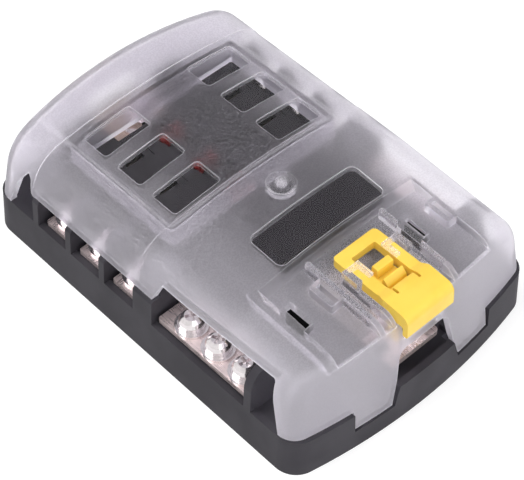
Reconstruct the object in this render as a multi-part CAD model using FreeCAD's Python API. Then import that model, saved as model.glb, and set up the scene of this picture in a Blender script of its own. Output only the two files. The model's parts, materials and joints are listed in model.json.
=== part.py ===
import FreeCAD, Part
import math
import os

from FreeCAD import Vector

# Fuse block with six blade fuse positions, an earth bus and a frosted lift-off cover.
# Millimetres, +Z up, the long way along Y. The origin is the middle of the underside.
# The positive feed enters at the +Y end and the negative feed at the -Y end, under the latch.

# Base outline; its length is the sum of the room for the ends, the rows, the block and the earth opening
BASE_WIDTH = 84.5
FAR_END_ROOM = 22.5
BLOCK_LENGTH = 6.1
EARTH_OPENING_LENGTH = 33.6
NEAR_END_ROOM = 22.8
END_BOW = 5.2
CORNER_RADIUS = 6.8
RIM_Z = 12.4
BASE_DRAFT = math.tan(math.radians(3.1))

# Base walls and floor
WALL = 2.6
FLOOR_SINK = 0.8
SILL_WIDTH = 2.0
BOTTOM_PLATE_THICK = 1.6
BOTTOM_PLATE_LIP = 2.0
HOLLOW_SIDE = 5.25
HOLLOW_END = 9.3
HOLLOW_ROUND = 5.0
FIT = 0.2

# Rows of fuses, counted from the +Y end
ROW_PITCH = 13.2
ROWS = 3

# Side openings and what divides them
DIVIDER_THICK = 2.1
END_POST_THICK = 2.4
DIVIDER_STRAIGHT_Z = 19.7
DIVIDER_TOP_Z = 26.6
DIVIDER_ARC = 7.0

# Fuse holder deck
SIDE_ROOM = 13.25
DECK_END_WALL = 1.0
DECK_TOP_Z = 21.2
DECK_WALL = 2.0
TROUGH_HALF_WIDTH = 3.45
TROUGH_DEPTH = 1.8
TROUGH_ROUND = 1.0
CHANNEL_HALF_WIDTH = 11.9
CHANNEL_START_FROM_BLOCK = 13.1
CHEEK_HALF_WIDTH = 20.0
CHEEK_FROM_END = 8.3
CHANNEL_FLOOR_Z = 10.0

# Blade fuse that the holder takes
BLADE_WIDTH = 5.2
BLADE_THICK = 0.8
BLADE_PITCH = 9.3
FUSE_LENGTH = 19.6
FUSE_THICK = 5.3
FUSE_FROM_SIDE = 1.6
SEAT_DEPTH = 0.5
SEAT_ROUND = 0.6
SLOT_CLEARANCE = 0.4

# Bus bars and output plates, tinned brass
BUS_THICK = 1.7
BUS_TOP_Z = 15.0
PLATE_ROUND = 0.5
OUTPUT_THICK = 1.6
OUTPUT_TOP_Z = 14.3
OUTPUT_WIDTH = 8.2
OUTPUT_PLATE_REACH = 10.8
EARTH_PLATE_REACH = 11.0
EARTH_FAR_GAP = 0.9
EARTH_NEAR_GAP = 1.2
FEED_TONGUE_HALF_WIDTH = 8.5
FEED_TONGUE_FROM_END = 5.5
EARTH_CROSS_WIDTH = 12.0

# Fuse clips
CLIP_THICK = 0.6
CLIP_TOP_GAP = 0.3

# Terminal screws, M4 pan head with a spring washer and a flat washer
SCREW_RADIUS = 2.0
SCREW_HEAD_RADIUS = 3.3
SCREW_HEAD_HIGH = 2.5
SCREW_HEAD_ROUND = 1.4
SCREW_LENGTH = 8.0
WASHER_RADIUS = 4.4
WASHER_THICK = 0.8
SPRING_RADIUS = 3.6
SPRING_THICK = 1.0
SPRING_SPLIT = 0.7
BORE_CLEARANCE = 0.25
CROSS_RECESS_WIDTH = 0.9
CROSS_RECESS_LENGTH = 3.4
CROSS_RECESS_DEPTH = 1.5
NUT_WIDTH = 7.0
NUT_THICK = 2.6
OUTPUT_SCREW_REACH = 5.4
EARTH_SCREW_REACH = 6.6
EARTH_SCREW_PITCH = 9.7
EARTH_SCREW_SHIFT = 1.6
EARTH_SCREWS = 3
CROSS_TURN = 27
SPLIT_TURN = 40

# Feed studs, M5
STUD_FROM_END = 15.8
STUD_RADIUS = 2.5
STUD_TOP_Z = 25.0
STUD_HEAD_WIDTH = 8.0
STUD_HEAD_THICK = 1.8
STUD_WASHER_RADIUS = 5.0
STUD_WASHER_THICK = 1.0
STUD_NUT_FLATS = 8.0
STUD_NUT_THICK = 4.0

# Blown-fuse lamps and their board
LED_X = 2.15
LED_RADIUS = 1.5
LED_TOP_Z = 22.8
LED_FLANGE_RADIUS = 1.75
LED_FLANGE_THICK = 0.5
BOARD_HALF_WIDTH = 4.8
BOARD_THICK = 1.4
RESISTOR_LENGTH = 3.2
RESISTOR_WIDTH = 1.6
RESISTOR_THICK = 0.5

# Mounting holes, one in each corner pocket, for countersunk number 8 or M4 screws
MOUNT_FROM_SIDE = 10.75
MOUNT_FROM_END = 15.8
MOUNT_RADIUS = 2.2
MOUNT_SINK_RADIUS = 4.3
MOUNT_BOSS_RADIUS = 5.0

# Screws that hold the deck to the base, from below
DECK_SCREW_FROM_SIDE = 4.4
DECK_SCREW_FROM_BLOCK = 5.1
DECK_SCREW_RADIUS = 1.5
DECK_SCREW_HEAD_RADIUS = 2.8
DECK_SCREW_HEAD_HIGH = 1.8
DECK_SCREW_LENGTH = 9.5
DECK_BOSS_RADIUS = 2.6

# Cover: arched top, rounded shoulders, drafted sides and leaning bowed ends
COVER_WALL = 2.0
CROWN_Z = 36.3
ARCH_RADIUS = 187.0
SHOULDER_RADIUS = 12.0
COVER_SIDE_INSET = 0.05
COVER_SIDE_SLOPE = 0.107
COVER_END_INSET = 1.7
COVER_END_SLOPE = 0.153
COVER_END_ROUND = 5.5
FALL_START_FROM_BLOCK = 8.1
FALL_SLOPE = 0.05
BAND_FAR_MARGIN = 1.3
BAND_NEAR_MARGIN = 1.0
BAND_STEP = 0.25
COVER_SEAT_GAP = 0.15

# Cut-outs of the cover's sides
SIDE_EDGE_Z = 21.3
EARTH_EDGE_Z = 27.5
TOOTH_TIP_OVERLAP = 0.5
TOOTH_SLANT = 2.4
EARTH_JAMB_FROM_END = 15.4
CORNER_FOOT_FROM_END = 11.1
NOTCH_IN_FROM_END = 20.6
NOTCH_TOP_FROM_END = 18.6
NOTCH_KNEE_FROM_END = 14.8
NOTCH_FOOT_FROM_END = 12.0
NOTCH_TOP_Z = 27.3
NOTCH_KNEE_Z = 21.8
NOTCH_LEAD = 1.7
NOTCH_STEP = 1.0
NOTCH_LEAN = 0.6
NOTCH_CHAMFER = 1.3

# Cable openings and locating tabs in the cover's ends
CABLE_FOOT_X = 11.9
CABLE_KNEE_X = 9.9
CABLE_KNEE_Z = 13.6
CABLE_TOP_X = 8.2
CABLE_TOP_Z = 23.0
CABLE_ROUND = 3.0
TAB_OUTER_X = 23.4
TAB_FOOT_Z = 6.6
TAB_CLEARANCE = 0.5

# Clear windows, polished and slightly sunk
WINDOW_SINK = 0.3
WINDOW_INNER_REACH = 7.75
WINDOW_OUTER_REACH = 7.7
WINDOW_LENGTH = 9.0
WINDOW_ROUND = 1.2
WINDOW_SHIFT_Y = 0.3
BIG_WINDOW_HALF_WIDTH = 18.1
BIG_WINDOW_FROM_BLOCK = 9.8
BIG_WINDOW_LENGTH = 11.9
BIG_WINDOW_ROUND = 2.0
DIMPLE_FROM_BLOCK = 2.8
DIMPLE_RADIUS = 4.1
DIMPLE_DEPTH = 1.3

# Skirt inside the cover round the fuses
SKIRT_FROM_SIDE = 0.6
SKIRT_FAR_MARGIN = 0.6
SKIRT_NEAR_MARGIN = 0.1
SKIRT_THICK = 1.7
SKIRT_FOOT_Z = 26.5
SKIRT_ROUND = 1.5

# Sunken bay at the latch end, its fins and the holders of spare fuses
BAY_DEPTH = 2.7
BAY_FROM_SIDE = 15.9
BAY_FROM_WINDOW = 0.7
BAY_RAMP = 1.9
FIN_X = 12.7
FIN_THICK = 1.5
FIN_FROM_BAY = 2.3
SPARE_SLOT_LENGTH = 6.5
SPARE_SLOT_WIDTH = 1.3
SPARE_SLOT_FROM_END = 21.75
SPARE_SLOT_FROM_FIN = 2.6
SPARE_SLOT_FROM_SIDE = 1.4
SPARE_BOSS_LENGTH = 8.1
SPARE_BOSS_SHIFT = 0.5
SPARE_BOSS_SIDE = 1.4
SPARE_BOSS_ROUND = 0.8

# Sliding latch; its length runs inward from the lip, which stands a little inside the base's end
LATCH_HALF_WIDTH = 7.4
LATCH_LENGTH = 26.7
LATCH_LIP_FROM_END = 1.9
LATCH_TOP_Z = 35.2
LATCH_TOP_ROUND = 0.6
LATCH_ROUND = 1.8
LATCH_RAIL = 3.3
LATCH_FAR_BAR = 3.5
LATCH_GAP_LENGTH = 13.3
LATCH_HEAD_HALF_WIDTH = 8.0
LATCH_HEAD_LENGTH = 8.9
LATCH_HEAD_RISE = 2.4
LATCH_HEAD_FLARE = 1.6
LATCH_HEAD_TOP_Z = 36.0
LATCH_HEAD_FALL = 0.4
LATCH_LIP_FOOT_Z = 28.9
LATCH_LIP_THICK = 1.7
LATCH_LIP_ROUND = 2.6
LATCH_RIDE_GAP = 0.25
LATCH_TRAVEL = 2.2
LATCH_LEG_X = 5.9
LATCH_LEG_THICK = 1.6
LATCH_LEG_FROM_LIP = 7.4
LATCH_LEG_WIDTH = 2.6
LATCH_LEG_FOOT_Z = 22.6

# Springy tongue of the latch with two ridges to push, and the slots that free it at its root
TONGUE_HALF_WIDTH = 3.2
TONGUE_HEAD_HALF_WIDTH = 2.7
TONGUE_TIP_GAP = 5.6
TONGUE_LIFT = 0.3
TONGUE_FLOOR_Z = 33.4
TONGUE_HEAD_TOP_Z = 36.3
TONGUE_HEAD_LENGTH = 2.0
TONGUE_DRAFT = 0.25
RIDGE_FROM_TIP = 4.3
RIDGE_LENGTH = 1.8
RIDGE_TOP_Z = 35.9
RIDGE_FOOT_Z = 34.1
TONGUE_ROUND = 0.25
RELIEF_LENGTH = 2.3
RELIEF_WIDTH = 0.7

# Clear hooks and guides of the cover that keep the latch
HOOK_FROM_LATCH = 5.7
HOOK_LENGTH = 5.2
HOOK_INNER_X = 4.0
HOOK_WIDTH = 1.3
HOOK_THICK = 1.1
GUIDE_THICK = 1.2
GUIDE_GAP = 0.3
GUIDE_FROM_END = 5.3

# Reach used by cutting tools that have to pass right through, and how nearly full a rounded end is
BEYOND = 30.0
NEARLY_ROUND = 0.9


# Levels and places that follow from the sizes above
BASE_LENGTH = FAR_END_ROOM + ROWS * ROW_PITCH + BLOCK_LENGTH + EARTH_OPENING_LENGTH + NEAR_END_ROOM
HALF_WIDTH = BASE_WIDTH / 2
HALF_LENGTH = BASE_LENGTH / 2
END_ARC_RADIUS = (HALF_WIDTH ** 2 + END_BOW ** 2) / (2 * END_BOW)
END_ARC_Y = HALF_LENGTH - END_ARC_RADIUS
RIM_INSET = RIM_Z * BASE_DRAFT
FLOOR_Z = RIM_Z - FLOOR_SINK
FLOOR_UNDER_Z = FLOOR_Z - WALL
BUS_UNDER_Z = BUS_TOP_Z - BUS_THICK
OUTPUT_UNDER_Z = OUTPUT_TOP_Z - OUTPUT_THICK
TROUGH_Z = DECK_TOP_Z - TROUGH_DEPTH
DECK_UNDER_Z = DECK_TOP_Z - DECK_WALL
TROUGH_UNDER_Z = TROUGH_Z - DECK_WALL
ROWS_FAR_Y = HALF_LENGTH - FAR_END_ROOM
ROWS_NEAR_Y = ROWS_FAR_Y - ROWS * ROW_PITCH
ROW_YS = [ROWS_FAR_Y - ROW_PITCH * (row + 1 / 2) for row in range(ROWS)]
DIVIDER_YS = [ROWS_FAR_Y - ROW_PITCH * row for row in range(1, ROWS)]
FAR_POST_Y = ROWS_FAR_Y - DIVIDER_THICK / 2
BLOCK_FAR_Y = ROWS_NEAR_Y + DIVIDER_THICK / 2
BLOCK_NEAR_Y = ROWS_NEAR_Y - BLOCK_LENGTH
EARTH_OPENING_Y = BLOCK_NEAR_Y - EARTH_OPENING_LENGTH
END_POST_NEAR_Y = EARTH_OPENING_Y - END_POST_THICK

# Deck, bus bars and terminals
DECK_HALF_WIDTH = HALF_WIDTH - SIDE_ROOM
DECK_FAR_Y = ROWS_FAR_Y + DECK_END_WALL
CHANNEL_START_Y = BLOCK_NEAR_Y - CHANNEL_START_FROM_BLOCK
CHEEK_END_Y = HALF_LENGTH - CHEEK_FROM_END
FUSE_X = DECK_HALF_WIDTH - FUSE_FROM_SIDE - FUSE_LENGTH / 2
INNER_BLADE_X = FUSE_X - BLADE_PITCH / 2
OUTER_BLADE_X = FUSE_X + BLADE_PITCH / 2
BLADE_HALF = BLADE_WIDTH / 2
OUTPUT_SCREW_X = DECK_HALF_WIDTH + OUTPUT_SCREW_REACH
EARTH_SCREW_X = DECK_HALF_WIDTH + EARTH_SCREW_REACH
OUTPUT_EDGE_X = DECK_HALF_WIDTH + OUTPUT_PLATE_REACH
EARTH_EDGE_X = DECK_HALF_WIDTH + EARTH_PLATE_REACH
EARTH_FAR_Y = BLOCK_NEAR_Y - EARTH_FAR_GAP
EARTH_NEAR_Y = EARTH_OPENING_Y + EARTH_NEAR_GAP
EARTH_MIDDLE_Y = (EARTH_FAR_Y + EARTH_NEAR_Y) / 2 - EARTH_SCREW_SHIFT
EARTH_SCREW_YS = [EARTH_MIDDLE_Y + EARTH_SCREW_PITCH * (1 - k) for k in range(EARTH_SCREWS)]
FEED_TONGUE_END_Y = HALF_LENGTH - FEED_TONGUE_FROM_END
STUD_Y = HALF_LENGTH - STUD_FROM_END
DECK_SCREW_X = DECK_HALF_WIDTH - DECK_SCREW_FROM_SIDE
DECK_SCREW_NEAR_Y = BLOCK_NEAR_Y - DECK_SCREW_FROM_BLOCK
DECK_SCREW_FAR_Y = DIVIDER_YS[0]

# Underside and mounting holes
HOLLOW_HALF_WIDTH = HALF_WIDTH - HOLLOW_SIDE
HOLLOW_HALF_LENGTH = HALF_LENGTH - HOLLOW_END
MOUNT_X = HALF_WIDTH - MOUNT_FROM_SIDE
MOUNT_Y = HALF_LENGTH - MOUNT_FROM_END

# Cover, its cut-outs, windows, skirt and bay
FALL_START_Y = BLOCK_NEAR_Y - FALL_START_FROM_BLOCK
BAND_FAR_Y = ROWS_FAR_Y + BAND_FAR_MARGIN
BAND_NEAR_Y = ROWS_NEAR_Y + BAND_NEAR_MARGIN
TOOTH_TIP_Y = BLOCK_NEAR_Y + TOOTH_TIP_OVERLAP
TOOTH_TOP_Y = TOOTH_TIP_Y - TOOTH_SLANT
EARTH_JAMB_Y = EARTH_JAMB_FROM_END - HALF_LENGTH
CORNER_FOOT_Y = HALF_LENGTH - CORNER_FOOT_FROM_END
NOTCH_IN_Y = HALF_LENGTH - NOTCH_IN_FROM_END
NOTCH_TOP_Y = HALF_LENGTH - NOTCH_TOP_FROM_END
NOTCH_KNEE_Y = HALF_LENGTH - NOTCH_KNEE_FROM_END
NOTCH_FOOT_Y = HALF_LENGTH - NOTCH_FOOT_FROM_END
WINDOW_INNER_X = FUSE_X - WINDOW_INNER_REACH
WINDOW_OUTER_X = FUSE_X + WINDOW_OUTER_REACH
BIG_WINDOW_FAR_Y = BLOCK_NEAR_Y - BIG_WINDOW_FROM_BLOCK
BIG_WINDOW_NEAR_Y = BIG_WINDOW_FAR_Y - BIG_WINDOW_LENGTH
DIMPLE_Y = BLOCK_NEAR_Y - DIMPLE_FROM_BLOCK
SKIRT_HALF_WIDTH = DECK_HALF_WIDTH - SKIRT_FROM_SIDE
SKIRT_FAR_Y = ROWS_FAR_Y + SKIRT_FAR_MARGIN
SKIRT_NEAR_Y = ROWS_NEAR_Y + SKIRT_NEAR_MARGIN
BAY_HALF_WIDTH = HALF_WIDTH - BAY_FROM_SIDE
BAY_START_Y = BIG_WINDOW_NEAR_Y - BAY_FROM_WINDOW
FIN_START_Y = BAY_START_Y - FIN_FROM_BAY
SPARE_SLOT_Y = SPARE_SLOT_FROM_END - HALF_LENGTH
SPARE_SLOT_INNER_X = FIN_X + SPARE_SLOT_FROM_FIN
SPARE_SLOT_OUTER_X = BAY_HALF_WIDTH - SPARE_SLOT_FROM_SIDE

# Latch, its tongue, and the hooks and guides that keep it
LATCH_LIP_Y = LATCH_LIP_FROM_END - HALF_LENGTH
LATCH_FAR_Y = LATCH_LIP_Y + LATCH_LENGTH
LATCH_HEAD_Y = LATCH_LIP_Y + LATCH_HEAD_LENGTH
LATCH_LEG_FAR_Y = LATCH_LIP_Y + LATCH_LEG_FROM_LIP
LATCH_GAP_FAR_Y = LATCH_FAR_Y - LATCH_FAR_BAR
LATCH_GAP_NEAR_Y = LATCH_GAP_FAR_Y - LATCH_GAP_LENGTH
TONGUE_TIP_Y = LATCH_GAP_FAR_Y - TONGUE_TIP_GAP
HOOK_FAR_Y = LATCH_FAR_Y - HOOK_FROM_LATCH
HOOK_NEAR_Y = HOOK_FAR_Y - HOOK_LENGTH
GUIDE_END_Y = GUIDE_FROM_END - HALF_LENGTH
SIDES = (-1, 1)


def box(x0, x1, y0, y1, z0, z1):
    """Block between two corners given in any order."""
    low = Vector(min(x0, x1), min(y0, y1), min(z0, z1))
    return Part.makeBox(abs(x1 - x0), abs(y1 - y0), abs(z1 - z0), low)


def rod(x, y, z0, z1, radius):
    """Upright cylinder."""
    return Part.makeCylinder(radius, z1 - z0, Vector(x, y, z0))


def cone(x, y, z0, z1, radius0, radius1):
    """Upright cone from radius0 at z0 to radius1 at z1."""
    return Part.makeCone(radius0, radius1, z1 - z0, Vector(x, y, z0))


def join(shapes):
    """Union of a list of solids."""
    return shapes[0].multiFuse(shapes[1:]).removeSplitter() if len(shapes) > 1 else shapes[0]


def unit(x, y):
    size = math.hypot(x, y)
    return x / size, y / size


def rounded_face(points, radii, place):
    """Flat face of a polygon whose corners are rounded, put in space by place(u, v)."""
    count = len(points)
    corners = []
    for i in range(count):
        u, v = points[i]
        before = unit(points[i - 1][0] - u, points[i - 1][1] - v)
        after = unit(points[(i + 1) % count][0] - u, points[(i + 1) % count][1] - v)
        if radii[i] == 0:
            corners.append(((u, v), None, (u, v)))
            continue
        half = math.acos(before[0] * after[0] + before[1] * after[1]) / 2
        run = radii[i] / math.tan(half)
        inward = unit(before[0] + after[0], before[1] + after[1])
        reach = radii[i] / math.sin(half) - radii[i]
        start = (u + before[0] * run, v + before[1] * run)
        middle = (u + inward[0] * reach, v + inward[1] * reach)
        end = (u + after[0] * run, v + after[1] * run)
        corners.append((start, middle, end))
    edges = []
    for i in range(count):
        start, middle, end = corners[i]
        if middle:
            edges.append(Part.Arc(place(*start), place(*middle), place(*end)).toShape())
        ahead = corners[(i + 1) % count][0]
        if math.hypot(ahead[0] - end[0], ahead[1] - end[1]) > 1e-6:
            edges.append(Part.makeLine(place(*end), place(*ahead)))
    return Part.Face(Part.Wire(edges))


def plan_block(x0, x1, y0, y1, z0, z1, radius):
    """Upright block with rounded vertical edges."""
    points = [(x0, y0), (x1, y0), (x1, y1), (x0, y1)]
    face = rounded_face(points, [radius] * 4, lambda u, v: Vector(u, v, z0))
    return face.extrude(Vector(0, 0, z1 - z0))


def side_profile(points, radii, x0, x1):
    """Prism along X from a profile in Y and Z."""
    face = rounded_face(points, radii, lambda u, v: Vector(x0, u, v))
    return face.extrude(Vector(x1 - x0, 0, 0))


def end_profile(points, radii, y0, y1):
    """Prism along Y from a profile in X and Z."""
    face = rounded_face(points, radii, lambda u, v: Vector(u, y0, v))
    return face.extrude(Vector(0, y1 - y0, 0))


def mirrored_x(shape):
    return shape.mirror(Vector(0, 0, 0), Vector(1, 0, 0))


def both_sides(shape):
    """The shape with its mirror image across the middle plane."""
    return [shape, mirrored_x(shape)]


def base_outline(inset, z):
    """Outline with straight sides and bowed ends, moved inward by inset."""
    radius = CORNER_RADIUS - inset
    half = HALF_WIDTH - inset
    bow = END_ARC_RADIUS - inset
    corner_x = half - radius
    corner_y = END_ARC_Y + math.sqrt((bow - radius) ** 2 - corner_x ** 2)
    on_bow = unit(corner_x, corner_y - END_ARC_Y)
    bow_x = on_bow[0] * bow
    bow_y = END_ARC_Y + on_bow[1] * bow
    bisector = unit(1 + on_bow[0], on_bow[1])
    mid_x = corner_x + bisector[0] * radius
    mid_y = corner_y + bisector[1] * radius

    def arc(a, b, c):
        return Part.Arc(Vector(*a, z), Vector(*b, z), Vector(*c, z)).toShape()

    edges = []
    for end in SIDES:
        crown = (0, end * (END_ARC_Y + bow))
        side, on_corner, on_end = [
            [(x, end * y), (-x, end * y)]
            for x, y in ((-end * half, corner_y), (-end * mid_x, mid_y), (-end * bow_x, bow_y))
        ]
        edges.append(arc(side[0], on_corner[0], on_end[0]))
        edges.append(arc(on_end[0], crown, on_end[1]))
        edges.append(arc(on_end[1], on_corner[1], side[1]))
        edges.append(Part.makeLine(Vector(*side[1], z), Vector(side[1][0], -side[1][1], z)))
    return Part.Wire(edges)


def drafted_body(extra_inset, z0, z1):
    """Base outline lofted between two heights along the draft of its walls."""
    low = base_outline(z0 * BASE_DRAFT + extra_inset, z0)
    high = base_outline(z1 * BASE_DRAFT + extra_inset, z1)
    return Part.makeLoft([low, high], True, True)


def wall_x(z):
    """Outer face of the base's side wall at a height."""
    return HALF_WIDTH - z * BASE_DRAFT


def opening_divider(y0, y1, under_cover_side):
    """Post of the side wall between two openings, on the +X side.

    Under the cover's side it is stepped, so that the cover's edge passes outside its tall inner part.
    """
    foot_z = FLOOR_Z - WALL / 2
    inner_x = DECK_HALF_WIDTH + FIT
    foot = [(inner_x, foot_z), (wall_x(foot_z), foot_z)]
    if under_cover_side:
        step_z = SIDE_EDGE_Z - 2 * FIT
        step_x = cover_side_x(step_z) - COVER_WALL - 2 * FIT
        points = foot + [
            (wall_x(step_z), step_z), (step_x, step_z), (step_x, DIVIDER_TOP_Z), (inner_x, DIVIDER_TOP_Z),
        ]
        radii = [0, 0, step_z - DIVIDER_STRAIGHT_Z, 0, DIVIDER_ARC / 2, 0]
    else:
        points = foot + [(wall_x(DIVIDER_STRAIGHT_Z), DIVIDER_TOP_Z), (inner_x, DIVIDER_TOP_Z)]
        radii = [0, 0, DIVIDER_ARC, 0]
    return end_profile(points, radii, y0, y1)


def terminal_spots():
    """Places of the side screws on the +X side: x, y and the plate's top."""
    spots = [(OUTPUT_SCREW_X, y, OUTPUT_TOP_Z) for y in ROW_YS]
    return spots + [(EARTH_SCREW_X, y, BUS_TOP_Z) for y in EARTH_SCREW_YS]


def plate_under(top_z):
    """Underside of the plate whose top is given."""
    return OUTPUT_UNDER_Z if top_z == OUTPUT_TOP_Z else BUS_UNDER_Z


def cover_side_x(z, offset=0):
    """Outer face of the cover's side wall at a height, or a face offset inward from it."""
    lean = math.hypot(1, COVER_SIDE_SLOPE)
    return wall_x(RIM_Z) - COVER_SIDE_INSET - (z - RIM_Z) * COVER_SIDE_SLOPE - offset * lean


def cover_end_y(x, z, offset=0):
    """Face of the cover's +Y end wall, or a face offset inward from it."""
    radius = END_ARC_RADIUS - COVER_END_INSET - (z - RIM_Z) * COVER_END_SLOPE - offset
    return END_ARC_Y + math.sqrt(radius ** 2 - x ** 2)


def tab_recess(end):
    """Space in the base's end wall for one locating tab of the cover, on the +X side."""
    clear = TAB_CLEARANCE
    outer_x = TAB_OUTER_X + clear
    inner_y = cover_end_y(outer_x, RIM_Z, COVER_WALL) - clear
    foot_z = TAB_FOOT_Z - clear
    points = [
        (CABLE_FOOT_X - clear, foot_z), (outer_x, foot_z),
        (outer_x, CABLE_KNEE_Z), (CABLE_KNEE_X - clear, CABLE_KNEE_Z),
    ]
    return end_profile(points, [0] * len(points), end * inner_y, end * (HALF_LENGTH + BEYOND))


def mount_spots():
    return [(x * MOUNT_X, y * MOUNT_Y) for x in SIDES for y in SIDES]


def deck_screw_spots():
    return [(x * DECK_SCREW_X, y) for x in SIDES for y in (DECK_SCREW_NEAR_Y, DECK_SCREW_FAR_Y)]


def bus_seats():
    """Raised seats of the base floor under the bus bars and the output plates."""
    nut_room = NUT_WIDTH / 2 + FIT + 1
    seats = []
    for end in SIDES:
        tongue_start = CHANNEL_START_Y if end < 0 else DECK_FAR_Y - 2 * DECK_WALL
        seats.append(box(-CHANNEL_HALF_WIDTH + DECK_WALL, CHANNEL_HALF_WIDTH - DECK_WALL,
                         abs(tongue_start) * end, end * (CHEEK_END_Y + FIT), FLOOR_Z, BUS_UNDER_Z))
    seats.append(box(-INNER_BLADE_X, INNER_BLADE_X, ROW_YS[-1], ROW_YS[0], FLOOR_Z, BUS_UNDER_Z))
    seats += both_sides(box(CHANNEL_HALF_WIDTH + DECK_WALL, EARTH_SCREW_X,
                            EARTH_MIDDLE_Y - EARTH_CROSS_WIDTH / 2, EARTH_MIDDLE_Y + EARTH_CROSS_WIDTH / 2,
                            FLOOR_Z, BUS_UNDER_Z))
    for x, y, top_z in terminal_spots():
        seats += both_sides(box(DECK_HALF_WIDTH + FIT, x + nut_room - 1, y - nut_room, y + nut_room,
                                FLOOR_Z, plate_under(top_z)))
    for y in ROW_YS:
        seats += both_sides(box(OUTER_BLADE_X - BLADE_HALF, DECK_HALF_WIDTH + FIT,
                                y - BLADE_HALF, y + BLADE_HALF, FLOOR_Z, OUTPUT_UNDER_Z))
    return seats


def base_housing():
    """Black moulding: tray with sunken floor, side posts, plate seats and a hollow underside."""
    body = drafted_body(0, 0, RIM_Z)
    body = body.cut(drafted_body(SILL_WIDTH, FLOOR_Z, RIM_Z + WALL))
    channel = box(-CHANNEL_HALF_WIDTH, CHANNEL_HALF_WIDTH, CHEEK_END_Y + FIT, HALF_LENGTH,
                  CHANNEL_FLOOR_Z, RIM_Z)
    channel = channel.common(drafted_body(SILL_WIDTH, CHANNEL_FLOOR_Z, RIM_Z))
    channels = [channel, channel.mirror(Vector(0, 0, 0), Vector(0, 1, 0))]
    hollow = plan_block(-HOLLOW_HALF_WIDTH, HOLLOW_HALF_WIDTH, -HOLLOW_HALF_LENGTH, HOLLOW_HALF_LENGTH,
                        -WALL, FLOOR_UNDER_Z, HOLLOW_ROUND)
    rebate = plan_block(-HOLLOW_HALF_WIDTH - BOTTOM_PLATE_LIP, HOLLOW_HALF_WIDTH + BOTTOM_PLATE_LIP,
                        -HOLLOW_HALF_LENGTH - BOTTOM_PLATE_LIP, HOLLOW_HALF_LENGTH + BOTTOM_PLATE_LIP,
                        -WALL, BOTTOM_PLATE_THICK, HOLLOW_ROUND + BOTTOM_PLATE_LIP)
    body = body.cut(channels + [hollow, rebate])

    added = bus_seats()
    for y in DIVIDER_YS:
        added += both_sides(opening_divider(y - DIVIDER_THICK / 2, y + DIVIDER_THICK / 2, True))
    added += both_sides(opening_divider(FAR_POST_Y, FAR_POST_Y + DIVIDER_THICK, True))
    added += both_sides(opening_divider(BLOCK_NEAR_Y, BLOCK_FAR_Y, True))
    added += both_sides(opening_divider(END_POST_NEAR_Y, EARTH_OPENING_Y, False))
    added += [rod(x, y, 0, FLOOR_Z, MOUNT_BOSS_RADIUS) for x, y in mount_spots()]
    body = body.multiFuse(added)

    cuts = []
    for x, y in mount_spots():
        cuts.append(rod(x, y, -WALL, RIM_Z, MOUNT_RADIUS))
        sink_deep = MOUNT_SINK_RADIUS - MOUNT_RADIUS
        cuts.append(cone(x, y, FLOOR_Z - sink_deep, FLOOR_Z, MOUNT_RADIUS, MOUNT_SINK_RADIUS))
    for x, y, top_z in terminal_spots():
        under = plate_under(top_z)
        half = NUT_WIDTH / 2 + FIT
        cuts += both_sides(box(x - half, x + half, y - half, y + half, under - NUT_THICK - FIT, under))
        cuts += both_sides(rod(x, y, 0, under, SCREW_RADIUS + BORE_CLEARANCE))
    for end in SIDES:
        half = STUD_HEAD_WIDTH / 2 + FIT
        cuts.append(box(-half, half, end * STUD_Y - half, end * STUD_Y + half,
                        BUS_UNDER_Z - STUD_HEAD_THICK - FIT, BUS_UNDER_Z))
        cuts += both_sides(tab_recess(end))
    for x, y in deck_screw_spots():
        cuts.append(rod(x, y, 0, FLOOR_Z, DECK_SCREW_RADIUS + BORE_CLEARANCE))
    return body.cut(cuts).removeSplitter()


def bottom_plate():
    """Insulating plate pressed into the rebate of the underside, with holes for the mounting bosses."""
    half_x = HOLLOW_HALF_WIDTH + BOTTOM_PLATE_LIP - FIT
    half_y = HOLLOW_HALF_LENGTH + BOTTOM_PLATE_LIP - FIT
    corner = HOLLOW_ROUND + BOTTOM_PLATE_LIP
    plate = plan_block(-half_x, half_x, -half_y, half_y, 0, BOTTOM_PLATE_THICK, corner)
    holes = [rod(x, y, -WALL, WALL * 2, MOUNT_BOSS_RADIUS + FIT) for x, y in mount_spots()]
    return plate.cut(holes)


def deck_outline(inset, z0, z1):
    """Plan of the fuse holder with its two cable channels, moved inward by inset."""
    near_y = END_POST_NEAR_Y + inset
    far_y = DECK_FAR_Y - inset
    cheek_x = CHEEK_HALF_WIDTH - inset
    cheek_y = CHEEK_END_Y - inset
    solid = join([
        box(-DECK_HALF_WIDTH + inset, DECK_HALF_WIDTH - inset, near_y, far_y, z0, z1),
        box(-cheek_x, cheek_x, -cheek_y, cheek_y, z0, z1),
    ])
    channel_x = CHANNEL_HALF_WIDTH + inset
    return solid.cut([
        box(-channel_x, channel_x, CHANNEL_START_Y + inset, -HALF_LENGTH, z0, z1),
        box(-channel_x, channel_x, far_y, HALF_LENGTH, z0, z1),
    ])


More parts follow.
